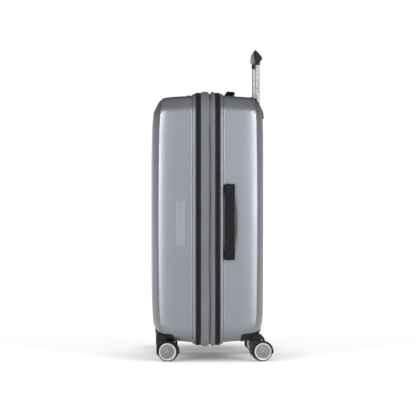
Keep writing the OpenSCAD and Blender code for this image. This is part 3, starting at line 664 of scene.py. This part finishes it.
def corner_guards(name, half, key, material):
    """A moulded skin over each lower corner, thin at its edges, with the caster's seat."""
    edge = GUARD_EDGE[key]
    vs = steps((edge[0][0], edge[2][0], 8), (edge[2][0], CREASE_V, 14), (CREASE_V, edge[-1][0], 8))
    z_edge = [pchip(v, [e[0] for e in edge], [e[1] for e in edge]) for v in vs]
    cols, end_x = 26, 0.160
    b = Build()
    for side in (1, -1):
        layers = []
        for thick in (1, 0):
            rows = []
            for i, v in enumerate(vs):
                st = guard_station(half, v)
                _, ix, it, ib, r, q = st
                cx, cz = CASE_W / 2 - ix - r, LIFT + ib + r
                a1 = -math.asin(min(0.995, max(0, (cz - z_edge[i]) / r)))
                row = []
                for j in range(cols):
                    t = j / (cols - 1)
                    du, dv = min(t, 1 - t) * 0.09, min(v - vs[0], vs[-1] - v)
                    e = float(smooth(min(du, dv) / 0.0022))
                    rr = r + (0.0004 + 0.0019 * e if thick else 0.0001)
                    if t < 0.75:
                        a = a1 + (-math.pi / 2 - a1) * t / 0.75
                        x, z = cx + rr * math.cos(a), cz + rr * math.sin(a)
                    else:
                        x = cx + (end_x - cx) * (t - 0.75) / 0.25
                        z = cz - rr
                    zt, zb = Z_TOP - it, LIFT + ib
                    k = abs(2 * z - zt - zb) / (zt - zb)
                    fwd = (rr - r) * (1 if v > CREASE_V else 0)
                    y = half["y0"] + half["dir"] * (v + fwd - q * (half["bow"][0] * k**2 + half["bow"][1] * k**10))
                    row.append((side * x, y, z))
                rows.append(row)
            layers.append(np.array(rows))
        top, under = layers
        o, u = b.grid(top), b.grid(under)
        n, m = len(vs), cols
        loop = [(0, j) for j in range(m - 1)] + [(i, m - 1) for i in range(n - 1)]
        loop += [(n - 1, j) for j in range(m - 1, 0, -1)] + [(i, 0) for i in range(n - 1, 0, -1)]
        for k, (i, j) in enumerate(loop):
            i2, j2 = loop[(k + 1) % len(loop)]
            b.face([o + i * m + j, o + i2 * m + j2, u + i2 * m + j2, u + i * m + j])
        seat = [(0.0, 0.0055), (0.0, BOSS_R - 0.0012), (0.0005, BOSS_R - 0.0004), (0.0014, BOSS_R),
                (BOSS_TOP - BOSS_Z, BOSS_R), (BOSS_TOP - BOSS_Z, 0.0055)]
        m4 = Matrix.Translation((side * PIVOT_X, PIVOT_Y[key], BOSS_Z)) @ Matrix.Rotation(-math.pi / 2, 4, "Y")
        lathe(b, seat, m4, 48)
    return b.object(name, material, sharp=45)


piece(corner_guards("lid_corner_guards", FRONT, "front", BLACK), "lid", "front_corner_guards", slot="black_plastic")
piece(corner_guards("base_corner_guards", BACK, "rear", BLACK), "base", "rear_corner_guards", slot="black_plastic")


# ---- Zip tapes and gusset ----
def tape(name, y_seam, away, body, node):
    """Half of a closed zip: its edge at the seam, a low hump over the coil, and the sewn edge."""
    y = lambda d: y_seam + away * d
    top = [(0.0001, -0.0016), (0.0004, -0.0006), (0.0012, -0.0001), (0.0026, -0.0001), (0.0034, -0.0007),
           (0.0042, -0.0009), (0.0058, -0.0007), (0.0066, -0.0006), (0.0070, -0.0014)]
    section = [(y(d), h) for d, h in top] + [(y(0.0070), -0.0038), (y(0.0001), -0.0038)]
    wave = lambda s, yy, h: (0.00018 * round_noise(s, 60, y_seam * 50), 0)
    ob = band(name, section, TAPE, wave)
    return piece(ob, body, node, slot="zip_tape")


tape("main_zip_lid_side", Y_MAIN, -1, "lid", "lid_zip_tape")
tape("main_zip_frame_side", Y_MAIN, 1, "frame", "frame_main_zip_tape")
tape("expansion_zip_frame_side", Y_EXP, -1, "frame", "frame_expansion_zip_tape")
tape("expansion_zip_base_side", Y_EXP, 1, "base", "back_zip_tape")

G0, G1 = Y_MAIN + ZIP_W / 2, Y_EXP - ZIP_W / 2
GUSSET_TOP = [(0.0, -0.0024), (0.0006, -0.0010), (0.002, -0.0002), (0.005, 0.0014), (0.009, 0.0024),
              (0.0135, 0.0026), (0.0175, 0.0020), (0.0195, 0.0018), (0.0208, 0.0022), (0.0225, 0.0013),
              (0.0242, -0.0012), (0.0256, -0.0034), (0.0270, -0.0040), (0.0282, -0.0034), (0.0294, -0.0012),
              (0.0308, 0.0010), (0.0330, 0.0022), (0.0355, 0.0024), (0.0380, 0.0014), (0.0402, -0.0002),
              (0.0412, -0.0012), (0.0415, -0.0026)]


def gusset_wave(s, y, h):
    """Soft wrinkles along the folds, and a valley that wanders a little."""
    d = y - G0
    lift = float(smooth(min(d, GUSSET_W - d) / 0.006)) if h > -0.0045 else 0.0
    valley = math.exp(-(((d - 0.0270) / 0.004) ** 2))
    dh = lift * (0.0009 * round_noise(s, 34, 1.0 + d * 60) + 0.0005 * round_noise(s, 120, 3.0 + d * 120))
    dy = valley * 0.0016 * round_noise(s, 26, 9.0)
    return dh - 0.0006 * valley, dy


section = [(G0 + d, h) for d, h in GUSSET_TOP] + [(G1, -0.0052), (G0, -0.0052)]
gusset = piece(band("gusset", section, GUSSET, gusset_wave, 60), "frame", "gusset_fabric", slot="gusset")


# ---- Carry handles ----
def wall_frame_side(v, z):
    """Axes on the back half's +X wall: X up the case, Y along the wall, Z outwards."""
    lean = math.atan(DRAFT / (CREASE_V - WALL_V))
    x = CASE_W / 2 - WALL_IN - (v - WALL_V) * math.tan(lean)
    turn = Matrix.Rotation(lean, 4, "Z") @ Matrix.Rotation(math.pi / 2, 4, "Y") @ Matrix.Rotation(math.pi, 4, "Z")
    return Matrix.Translation((x, Y_EXP + v, z)) @ turn


def wall_frame_top(v):
    """Axes on the back half's top: X across the case, Z outwards."""
    lean = math.atan((DRAFT - 0.001) / (CREASE_V - WALL_V))
    z = Z_TOP - WALL_IN - (v - WALL_V) * math.tan(lean)
    return Matrix.Translation((0, Y_EXP + v, z)) @ Matrix.Rotation(-lean, 4, "X")


HANDLE_LEG, HANDLE_LEN, LEG_END = 0.092, 0.217, -0.0077


def pull_handle(name, m, width, material):
    """A soft bar with thicker ends, ribs near them, and a leg into each socket."""
    half = HANDLE_LEN / 2
    xs = steps((-half, -half + 0.006, 8), (-half + 0.006, -0.066, 16), (-0.066, 0.066, 24),
               (0.066, half - 0.006, 16), (half - 0.006, half, 8))
    rows = []
    for x in xs:
        a = abs(x)
        e = math.sqrt(max(1 - max(0, (a - (half - 0.006)) / 0.006) ** 2, 0))
        cap = float(smooth((a - 0.062) / 0.008))
        w = (width - 0.0015 + 0.0015 * cap) * (0.72 + 0.28 * e)
        t = (0.0088 + 0.0007 * cap) * (0.30 + 0.70 * e)
        rib = 0.0005 * (1 - cap) * (0.5 + 0.5 * math.cos(a * 2 * math.pi / 0.0085)) if a > 0.030 else 0
        sec = superellipse(w - rib, t - rib, 36, 3.6)
        rows.append([(x, p[0], 0.0138 + p[1]) for p in sec])
    rows = np.array(rows)
    b = Build()
    first = b.grid(place(rows.reshape(-1, 3), m).reshape(rows.shape), wrap=True)
    n = rows.shape[1]
    b.caps(first, len(xs), n)
    for s in (-1, 1):
        leg = m @ Matrix.Translation((s * HANDLE_LEG, 0, 0)) @ Matrix.Rotation(-math.pi / 2, 4, "Y")
        profile = [(LEG_END, 0.0001), (LEG_END, 0.0046), (LEG_END + 0.0004, 0.005), (0.012, 0.005), (0.012, 0.0001)]
        lathe(b, profile, leg, 24)
    return b.object(name, material, sharp=50)


piece(pull_handle("side_pull_handle", wall_frame_side(HANDLE_V, HANDLE_Z), 0.029, RUBBER),
      "carry_handle_side", "side_handle", slot="handle_rubber")
piece(pull_handle("top_pull_handle", wall_frame_top(0.0408), 0.0255, RUBBER),
      "carry_handle_top", "top_handle", slot="handle_rubber")

# ---- Trolley grip: a leaf-shaped bar in two mouldings, on two sockets ----
GRIP_Y, GRIP_Z, GRIP_HALF = Y_EXP + 0.120, 0.865, 0.113
# the two mouldings' outlines across the grip, (y, z) in millimetres from the tubes and GRIP_Z
LEAF_BACK = [(-7.5, 33.6), (-5.4, 32.9), (-1.8, 30.2), (3.2, 25.0), (8.6, 18.6), (12.4, 13.4), (13.6, 10.0),
             (13.0, 6.6), (10.6, 3.0), (7.0, 0.8), (2.0, 0.0), (-3.0, 0.6), (-7.5, 3.6)]
LEAF_FRONT = [(-7.6, 3.6), (-9.4, 7.0), (-10.6, 12.0), (-10.8, 17.5), (-10.2, 23.0), (-9.2, 28.5),
              (-8.4, 32.3), (-7.6, 33.6)]


def densify(points, n):
    """Catmull-Rom points through an open run, n to each span."""
    p = np.array(points, float)
    q = np.vstack([2 * p[0] - p[1], p, 2 * p[-1] - p[-2]])
    out = []
    for k in range(1, len(q) - 2):
        for t in np.linspace(0, 1, n, endpoint=False):
            a, b, c, d = q[k - 1], q[k], q[k + 1], q[k + 2]
            out.append(0.5 * (2 * b + (c - a) * t + (2 * a - 5 * b + 4 * c - d) * t**2
                              + (3 * b - a - 3 * c + d) * t**3))
    return np.array(out + [p[-1]])


def soft_bar(b, outline2d, half, edge):
    """A bar along X with the (y, z) outline in millimetres, and rounded ends."""
    p = outline2d / 1000
    c = p.mean(0)
    size = np.abs(p - c).max()
    xs = [(-half, edge), (-half + 0.15 * edge, 0.55 * edge), (-half + 0.5 * edge, 0.2 * edge), (-half + edge, 0)]
    xs += [(x, 0) for x in np.linspace(-half + edge, half - edge, 14)[1:-1]] + [(-x, i) for x, i in xs[::-1]]
    rows = []
    for x, inset in xs:
        q = c + (p - c) * (1 - inset / size)
        rows.append(np.c_[np.full(len(q), x), GRIP_Y + q[:, 0], GRIP_Z + q[:, 1]])
    first = b.grid(np.array(rows), wrap=True)
    n = len(p)
    b.caps(first, len(xs), n)


def upright_block(b, x, y, z0, z1, w, d, power=5.0, edge=0.0008):
    """A block with soft edges round a tube."""
    rows = []
    for z, inset in ((z0, 2 * edge), (z0, edge), (z0 + edge, 0), (z1, 0)):
        sec = superellipse(w - inset, d - inset, 32, power)
        rows.append(np.c_[x + sec[:, 0], y + sec[:, 1], np.full(len(sec), z)])
    first = b.grid(np.array(rows), wrap=True)
    b.caps(first, len(rows), 32)


b = Build()
soft_bar(b, densify(LEAF_FRONT, 4), GRIP_HALF, 0.0026)
front_moulding = b.object("grip_front_moulding", GREY, sharp=38)
front_moulding.data.materials.append(BLACK)
for face in front_moulding.data.polygons:
    if abs(face.center.x) > GRIP_HALF - 0.0022:
        face.material_index = 1
piece(front_moulding, "trolley_top", "grip_front", slot="grey_plastic")
b = Build()
soft_bar(b, densify(LEAF_BACK, 4), GRIP_HALF, 0.0026)
for side in (1, -1):
    upright_block(b, side * 0.100, GRIP_Y, 0.855, 0.867, 0.0216, 0.0146)
piece(b.object("grip_back_moulding", BLACK, sharp=38), "trolley_top", "grip_back", slot="black_plastic")

TRIM_X0, TRIM_X1, TRIM_T, TRIM_FROM, TRIM_TO, SILL = 0.128, 0.1515, 0.0044, 0.098, 0.0588, 0.0090


def back_path(inset):
    """(y, z) points of the case's edge behind the trolley, from the top face round to the back, and outward normals."""
    lie = [wall(v) for v in np.linspace(TRIM_FROM, CREASE_V, 6)[:-1]] + [bevel(BACK, s) for s in inset]
    path = np.array([(BACK["y0"] + v - q * sum(BACK["bow"]), Z_TOP - it) for v, _, it, _, _, q in lie])
    run = np.gradient(path, axis=0)
    out = np.c_[-run[:, 1], run[:, 0]] / np.linalg.norm(run, axis=1)[:, None]
    return path, out * np.sign(out.sum(1))[:, None]


def trolley_trim():
    """The raised frame of the trolley's moulding: a strip over the case's edge at each end, and a sill between."""
    path, out = back_path(np.linspace(0.0, TRIM_TO, 24))
    b = Build()

    def strip(section, lines):
        rows = np.array([[(x, p[0] + n[0] * h * f, p[1] + n[1] * h * f) for x, h in section] for p, n, f in lines])
        first, m = b.grid(rows, wrap=True), rows.shape[1]
        b.caps(first, len(rows), m)

    for side in (1, -1):
        sec = [(TRIM_X0, 0.0002), (TRIM_X0, TRIM_T - 0.001), (TRIM_X0 + 0.001, TRIM_T), (TRIM_X1 - 0.0014, TRIM_T),
               (TRIM_X1 - 0.0004, TRIM_T - 0.0006), (TRIM_X1, TRIM_T - 0.0018), (TRIM_X1, 0.0002)]
        ends = [0.35 + 0.65 * float(smooth(min(k, len(path) - 1 - k) / 2)) for k in range(len(path))]
        strip([(side * x, h) for x, h in sec], list(zip(path, out, ends)))
    low, low_out = back_path(np.linspace(TRIM_TO - SILL, TRIM_TO, 9))
    rise = [0.35, 0.75, 1, 1, 1, 1, 1, 0.75, 0.35]
    sec = [(-TRIM_X1 + 0.0006, 0.0002), (-TRIM_X1 + 0.0006, TRIM_T - 0.0002), (TRIM_X1 - 0.0006, TRIM_T - 0.0002),
           (TRIM_X1 - 0.0006, 0.0002)]
    strip(sec, list(zip(low[5:], low_out[5:], rise)))
    return b.object("trolley_trim", BLACK, sharp=50)


piece(trolley_trim(), "base", slot="black_plastic")

# ---- Blank plate on the lid's side ----
def blank_plate():
    """A thin plate that lies on the lid's +X wall, with a low frame round its face."""
    v0, z0, w, h, r, proud = 0.0507, 0.3955, 0.023, 0.127, 0.0022, 0.00035
    b = Build()
    rings = []
    for inset, out in ((0.0, -0.0003), (0.0, proud - 0.00015), (0.0002, proud), (0.0016, proud),
                       (0.0020, proud - 0.0002), (0.0026, proud - 0.0002)):
        rows = []
        for cx, cz, a0 in ((1, 1, 0), (-1, 1, 90), (-1, -1, 180), (1, -1, 270)):
            for a in np.radians(np.linspace(a0, a0 + 90, 9)):
                rr = max(r - inset, 0.0003)
                dv = cx * (w / 2 - r) + math.cos(a) * rr
                dz = cz * (h / 2 - r) + math.sin(a) * rr
                x = CASE_W / 2 - wall(v0 + dv)[1]
                rows.append((x + out, Y_MAIN - v0 - dv, z0 + dz))
        rings.append(rows)
    b.grid(np.array(rings), wrap=True)
    n = len(rings[0])
    b.fan(list(range((len(rings) - 1) * n, len(rings) * n)))
    return b.object("blank_side_plate", PLATE, sharp=40)


piece(blank_plate(), "lid", "badge_plate", slot="grey_plastic")

# ---- Wheels ----
TRAIL, WHEEL_R, WHEEL_IN = 0.018, 0.0275, 0.0038
CASTERS = {"front_right": (1, "front", -9), "front_left": (-1, "front", 6),
           "rear_right": (1, "rear", 11), "rear_left": (-1, "rear", -4)}
# profiles of (distance out from the web, radius), closed
RIM_R = WHEEL_R - 0.0026
TYRE_PROFILE = [(0, RIM_R), (0.0, WHEEL_R - 0.0014), (0.0004, WHEEL_R - 0.0005), (0.0013, WHEEL_R),
                (0.0040, WHEEL_R), (0.0043, WHEEL_R - 0.0006), (0.0049, WHEEL_R - 0.0006), (0.0052, WHEEL_R),
                (0.0078, WHEEL_R), (0.0081, WHEEL_R - 0.0006), (0.0087, WHEEL_R - 0.0006), (0.0090, WHEEL_R),
                (0.0117, WHEEL_R), (0.0126, WHEEL_R - 0.0005), (0.013, WHEEL_R - 0.0014), (0.013, RIM_R)]
HUB_PROFILE = [(0.0, 0.003), (0.0, 0.009), (0.003, 0.009), (0.003, RIM_R - 0.003), (0, RIM_R - 0.003),
               (0, RIM_R), (0.0126, RIM_R), (0.0131, RIM_R - 0.0006), (0.0133, RIM_R - 0.0016),
               (0.0131, RIM_R - 0.0030), (0.0122, RIM_R - 0.0036), (0.0120, RIM_R - 0.0044),
               (0.0124, 0.0150), (0.0126, 0.0058), (0.0131, 0.0052), (0.0133, 0.0040), (0.0133, 0.0001),
               (0.0116, 0.0001), (0.0116, 0.003)]
for corner, (side, key, yaw) in CASTERS.items():
    at = Matrix.Translation((side * PIVOT_X, PIVOT_Y[key], 0)) @ Matrix.Rotation(math.radians(yaw), 4, "Z")
    tyres, hubs = Build(), Build()
    for s in (1, -1):
        mirrored = Matrix.Diagonal((s, 1, 1, 1)) @ Matrix.Translation((WHEEL_IN, 0, 0))
        m = at @ Matrix.Translation((0, TRAIL, WHEEL_R)) @ mirrored
        lathe(tyres, TYRE_PROFILE, m, 96)
        lathe(hubs, HUB_PROFILE, m, 96)
    piece(tyres.object("wheel_tyres_" + corner, TYRE, 35), "wheels_" + corner, "tyres_" + corner, slot="tyre")
    piece(hubs.object("wheel_hubs_" + corner, HUB, 35), "wheels_" + corner, "hubs_" + corner, slot="hub")


# ---- Inside: linings, sleeve, divider, straps, hinge cloth ----
def thicken(ob, thick):
    """Gives a single layer of cloth its thickness."""
    m = ob.modifiers.new("cloth", "SOLIDIFY")
    m.thickness, m.offset = thick, 0
    return ob


def cloth_skin(name, rows, material, thick=0.0010):
    """Rows of points from the open edge to the floor, closed by a fan, as one layer with a thickness."""
    b = Build()
    along = np.r_[0, np.cumsum(np.linalg.norm(np.diff(np.vstack([rows[0], rows[0][:1]]), axis=0), axis=1))]
    rise = np.r_[0, np.cumsum(np.linalg.norm(np.diff(rows[:, 0], axis=0), axis=1))]
    first = b.grid(rows, wrap=True, u=along, v=rise)
    n = rows.shape[1]
    b.fan([first + (len(rows) - 1) * n + j for j in range(n)])
    ob = b.object(name, material, sharp=60)
    return thicken(ob, thick)


def wrinkled(p, amount, k, seed):
    """Moves points inwards, towards the case's middle line, by up to amount."""
    out = p.copy()
    for i in range(p.shape[0]):
        for j in range(p.shape[1]):
            q = Vector(p[i, j])
            w = 0.5 + 0.5 * noise.noise(q * k + Vector((seed, 0, 0)))
            fine = 0.5 + 0.5 * noise.noise(q * k * 3.1 + Vector((0, seed, 0)))
            d = amount * (0.7 * w + 0.3 * fine)
            to = Vector((-q.x, 0, Z_MID - q.z))
            reach = max(abs(q.x) / 0.24, abs(q.z - Z_MID) / 0.34)
            if reach > 0.9:
                out[i, j] += np.array(to.normalized() * d)
    return out


def lid_lining():
    """The lid's inner surface, from the rim down its walls and over its floor."""
    sts = [rim(0.0035, 0.0096), rim(0.010, 0.0098), rim(0.018, 0.0135)]
    sts += [wall(v) for v in np.linspace(0.026, 0.108, 14)]
    sts += [bevel(FRONT, s) for s in (0.002, 0.008, 0.02, 0.04, 0.07, 0.12, 0.18, 0.225)]
    rows = np.array([ring(FRONT, st, 0.0 if k < 3 else 0.0048) for k, st in enumerate(sts)])
    return wrinkled(rows[:, ::2], 0.0028, 9.0, 3.0)


lid_cloth = piece(cloth_skin("lid_lining", lid_lining(), LINING), "lid", "front_lining", slot="lining")

TUB = [(0.0045, 0.0158, 0.038), (0.02, 0.0175, 0.037), (0.04, 0.020, 0.036), (0.062, 0.0235, 0.034),
       (0.084, 0.0268, 0.032), (0.093, 0.0292, 0.030), (0.0995, 0.034, 0.028), (0.1035, 0.0415, 0.026),
       (0.1044, 0.055, 0.024), (0.1044, 0.10, 0.03), (0.1044, 0.16, 0.04), (0.1044, 0.22, 0.03)]


def base_lining():
    """A tub inside the back half, whose floor lies over the trolley's tubes."""
    rows = []
    for v, inset, r in TUB:
        p = outline(inset, inset, inset + 0.006, min(r, 0.98 * (CASE_W / 2 - inset)))
        y = np.full(len(p), Y_EXP + v)
        # step over the trolley's cover
        near = smooth((0.146 - np.abs(p[:, 0])) / 0.012) * smooth((p[:, 1] - 0.684) / 0.012)
        y = np.minimum(y, Y_EXP + 0.0855 + (y - Y_EXP - 0.0855) * (1 - near)) if v > 0.084 else y
        rows.append(np.c_[p[:, 0], y, p[:, 1]])
    return wrinkled(np.array(rows)[:, ::2], 0.0024, 9.0, 5.0)


base_cloth = piece(cloth_skin("base_lining", base_lining(), LINING), "base", "back_lining", slot="lining")


def ring_cloth(name, y0, y1, inset, material, amount, seed):
    """A cloth ring round the inside of the opening, between two depths."""
    ys = np.linspace(y0, y1, 15)
    section = [(y, -inset) for y in ys] + [(y, -inset - 0.0009) for y in ys[::-1]]

    def wave(s, y, h):
        t = (y - y0) / (y1 - y0)
        env = math.sin(math.pi * t)
        return -amount * env * (0.5 + 0.5 * round_noise(s, 40, seed + t * 2)), 0

    return band(name, section, material, wave, 70)


sleeve = piece(ring_cloth("expansion_sleeve", Y_MAIN + 0.004, Y_EXP + 0.009, 0.0106, SLEEVE, 0.0012, 2.0),
               "base", "expansion_gusset", slot="lining")


SQUARENESS = 11.0


def divider():
    """The lid's flat cloth panel, slightly slack, with rounded corners."""
    y = Y_MAIN - 0.0120
    hx, hz = CASE_W / 2 - 0.0105, CASE_H / 2 - 0.0105
    n = 41
    b = Build()
    pts = []
    for i in range(n):
        for j in range(n):
            u, w = -1 + 2 * i / (n - 1), -1 + 2 * j / (n - 1)
            m = (abs(u) ** SQUARENESS + abs(w) ** SQUARENESS) ** (1 / SQUARENESS)
            lim = max(abs(u), abs(w))
            f = lim / m if m > 0 else 1
            blend_in = lim**3
            x, z = u * hx * (1 + (f - 1) * blend_in), w * hz * (1 + (f - 1) * blend_in)
            slack = (1 - u * u) * (1 - w * w)
            fold = noise.noise(Vector((x * 7, z * 5, 4.0)))
            pts.append((x, y + 0.0042 * slack * fold, Z_MID + z))
    grid = np.array(pts).reshape(n, n, 3)
    b.grid(grid, u=np.linspace(0, 2 * hz, n + 1), v=np.linspace(0, 2 * hx, n + 1))
    ob = b.object("lid_divider", DIVIDER, 60)
    return thicken(ob, 0.0012)


panel = piece(divider(), "lid", "divider_panel", slot="lining")

# four straps from the buckle in the middle to the corners
STRAP_Y, STRAP_ANGLE, STRAP_FROM, STRAP_LEN, STRAP_W = Y_EXP + 0.009, 49.6, 0.026, 0.308, 0.034
for k, deg in enumerate((STRAP_ANGLE, 180 - STRAP_ANGLE, 180 + STRAP_ANGLE, -STRAP_ANGLE)):
    a = math.radians(deg)
    along, across = Vector((math.cos(a), 0, math.sin(a))), Vector((-math.sin(a), 0, math.cos(a)))
    rows = []
    for t in np.linspace(0, 1, 25):
        dip = 0.004 * math.sin(math.pi * t) + 0.0006 * math.sin(9 * t + k)
        c = Vector((0, STRAP_Y + dip, Z_MID)) + along * (STRAP_FROM + STRAP_LEN * t)
        rows.append([c + across * (w * STRAP_W / 2) + Vector((0, 0.0006 * math.sin(6 * t + w), 0))
                     for w in np.linspace(-1, 1, 9)])
    b = Build()
    b.grid(np.array(rows), u=np.linspace(0, STRAP_W, 10), v=np.linspace(0, STRAP_LEN, 26))
    strap = b.object(f"packing_strap_{k + 1}", WEBBING, 60)
    thicken(strap, 0.0014)
    piece(strap, "base", "packing_straps", slot="strap")


STRIP_LEN, STRIP_ON_FRAME, STRIP_ON_LID = 0.58, 0.034, 0.030


def hinge_cloth():
    """A strip sewn inside the closed edge on the hinge side, from the gusset to the lid."""
    x, ys = HINGE_X + 0.0088, np.linspace(Y_MAIN + STRIP_ON_FRAME, Y_MAIN - STRIP_ON_LID, 40)
    zs = np.linspace(Z_MID - STRIP_LEN / 2, Z_MID + STRIP_LEN / 2, 60)
    rows = [[(x + 0.0004 * noise.noise(Vector((z * 20, y * 40, 2))), y, z) for z in zs] for y in ys]
    b = Build()
    b.grid(np.array(rows), u=np.linspace(0, STRIP_LEN, 61), v=np.linspace(0, 0.064, 41))
    ob = b.object("hinge_cloth", TAPE, 60)
    return thicken(ob, 0.0008)


strip = hinge_cloth()
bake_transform(strip)
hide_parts("hinge_binding")


# ---- Floor, light, camera ----
def area(name, place_at, target, size, power, colour=(1, 1, 1)):
    light = bpy.data.lights.new(name, "AREA")
    light.shape, light.size, light.size_y = "RECTANGLE", size[0], size[1]
    light.energy, light.color = power, colour
    ob = bpy.data.objects.new(name, light)
    ob.location = place_at
    ob.rotation_mode = "QUATERNION"
    ob.rotation_quaternion = (Vector(target) - Vector(place_at)).to_track_quat("-Z", "Y")
    ob.visible_camera = False
    scene.collection.objects.link(ob)
    return ob


b = Build()
b.grid(np.array([[(x, y, 0.0) for x in (-30, 30)] for y in (-30, 30)], float))
paper = Shader("studio_floor")
at = paper.coord()
fibre = paper.noise(at, 3.0, 4.0)
# the paper glows to read white; painted contact shade dims the glow where it is shut in, and painted shade dims it more
# the nearer it lies to the case
painted_contact_shade = paper.add("AmbientOcclusion", {"Distance": 0.22}, out="AO", samples=8)
painted_shade_glow = paper.span(paper.add("VectorMath", {0: at}, out="Value", operation="LENGTH"), 0.5, 3.0, 0.74, 0.98)
# painted shadow: the glow is dimmed in an oval behind the case, as if the lights in front cast the case's shadow there
behind = paper.mapped(paper.add("VectorMath", {0: at, 1: (0.42, 0.0, 0.0)}, operation="ADD"), (3.3, 4.6, 1.0))
shade = paper.span(paper.add("VectorMath", {0: behind}, out="Value", operation="LENGTH"), 0.35, 1.15, 0.34, 1.0)
painted_shade_glow = paper.mul(painted_shade_glow, shade)
paper.principled(
    Base_Color=paper.mix(fibre, rgb(0.80, 0.80, 0.80), rgb(0.84, 0.84, 0.84)), Roughness=0.8,
    Emission_Color=rgb(1.0, 1.0, 1.0),
    Emission_Strength=paper.mul(paper.math("POWER", painted_contact_shade, 0.7), painted_shade_glow),
)
floor = b.object("floor", paper.mat, normals=False)

world = bpy.data.worlds.new("studio")
scene.world = world
world.use_nodes = True
wt = world.node_tree
bg = wt.nodes["Background"]


def world_node(kind, inputs, **props):
    n = wt.nodes.new("ShaderNode" + kind)
    for k, v in props.items():
        setattr(n, k, v)
    for k, v in inputs.items():
        if isinstance(v, bpy.types.NodeSocket):
            wt.links.new(v, n.inputs[k])
        else:
            n.inputs[k].default_value = v
    return n


def fade(value, a, b, c, d):
    limits = {"Value": value, "From Min": a, "From Max": b, "To Min": c, "To Max": d}
    return world_node("MapRange", limits).outputs["Result"]


# a white backdrop low down behind the case, grey flags beside it, and a dim room above
way = world_node("TexCoord", {})
axis = world_node("SeparateXYZ", {0: way.outputs["Generated"]}).outputs
backdrop = fade(axis["X"], -0.93, -0.80, 1.03, 0.42)
low = fade(axis["Z"], 0.088, 0.11, 1.0, 0.0)
lit = world_node("Math", {0: backdrop, 1: low}, operation="MULTIPLY").outputs[0]
wt.links.new(world_node("Math", {0: lit, 1: 0.12}, operation="MAXIMUM").outputs[0], bg.inputs["Strength"])
bg.inputs["Color"].default_value = (0.97, 0.985, 1.0, 1)

MID = (0.1, 0, 0.50)
area("strip_lid_side", (2.50, -1.40, 0.90), MID, (0.55, 1.45), 33)
area("strip_back_side", (2.50, 1.32, 0.90), MID, (0.55, 1.45), 32)
area("top", (0.4, 0, 2.6), MID, (2.4, 2.4), 5)
area("front_fill", (4.2, 0.0, 1.5), MID, (1.4, 1.4), 7)

cam = bpy.data.cameras.new("photo_camera")
cam.lens, cam.sensor_width = 205, 36
cam.clip_end = 100
eye = bpy.data.objects.new("photo_camera", cam)
yaw = math.radians(1.56)
distance = 7.0
eye.location = (distance * math.cos(yaw), -distance * math.sin(yaw) - 0.0064, 0.439)
eye.rotation_mode = "QUATERNION"
eye.rotation_quaternion = Vector((-math.cos(yaw), math.sin(yaw), 0)).to_track_quat("-Z", "Y")
scene.collection.objects.link(eye)
scene.camera = eye
scene.view_settings.view_transform = "Standard"
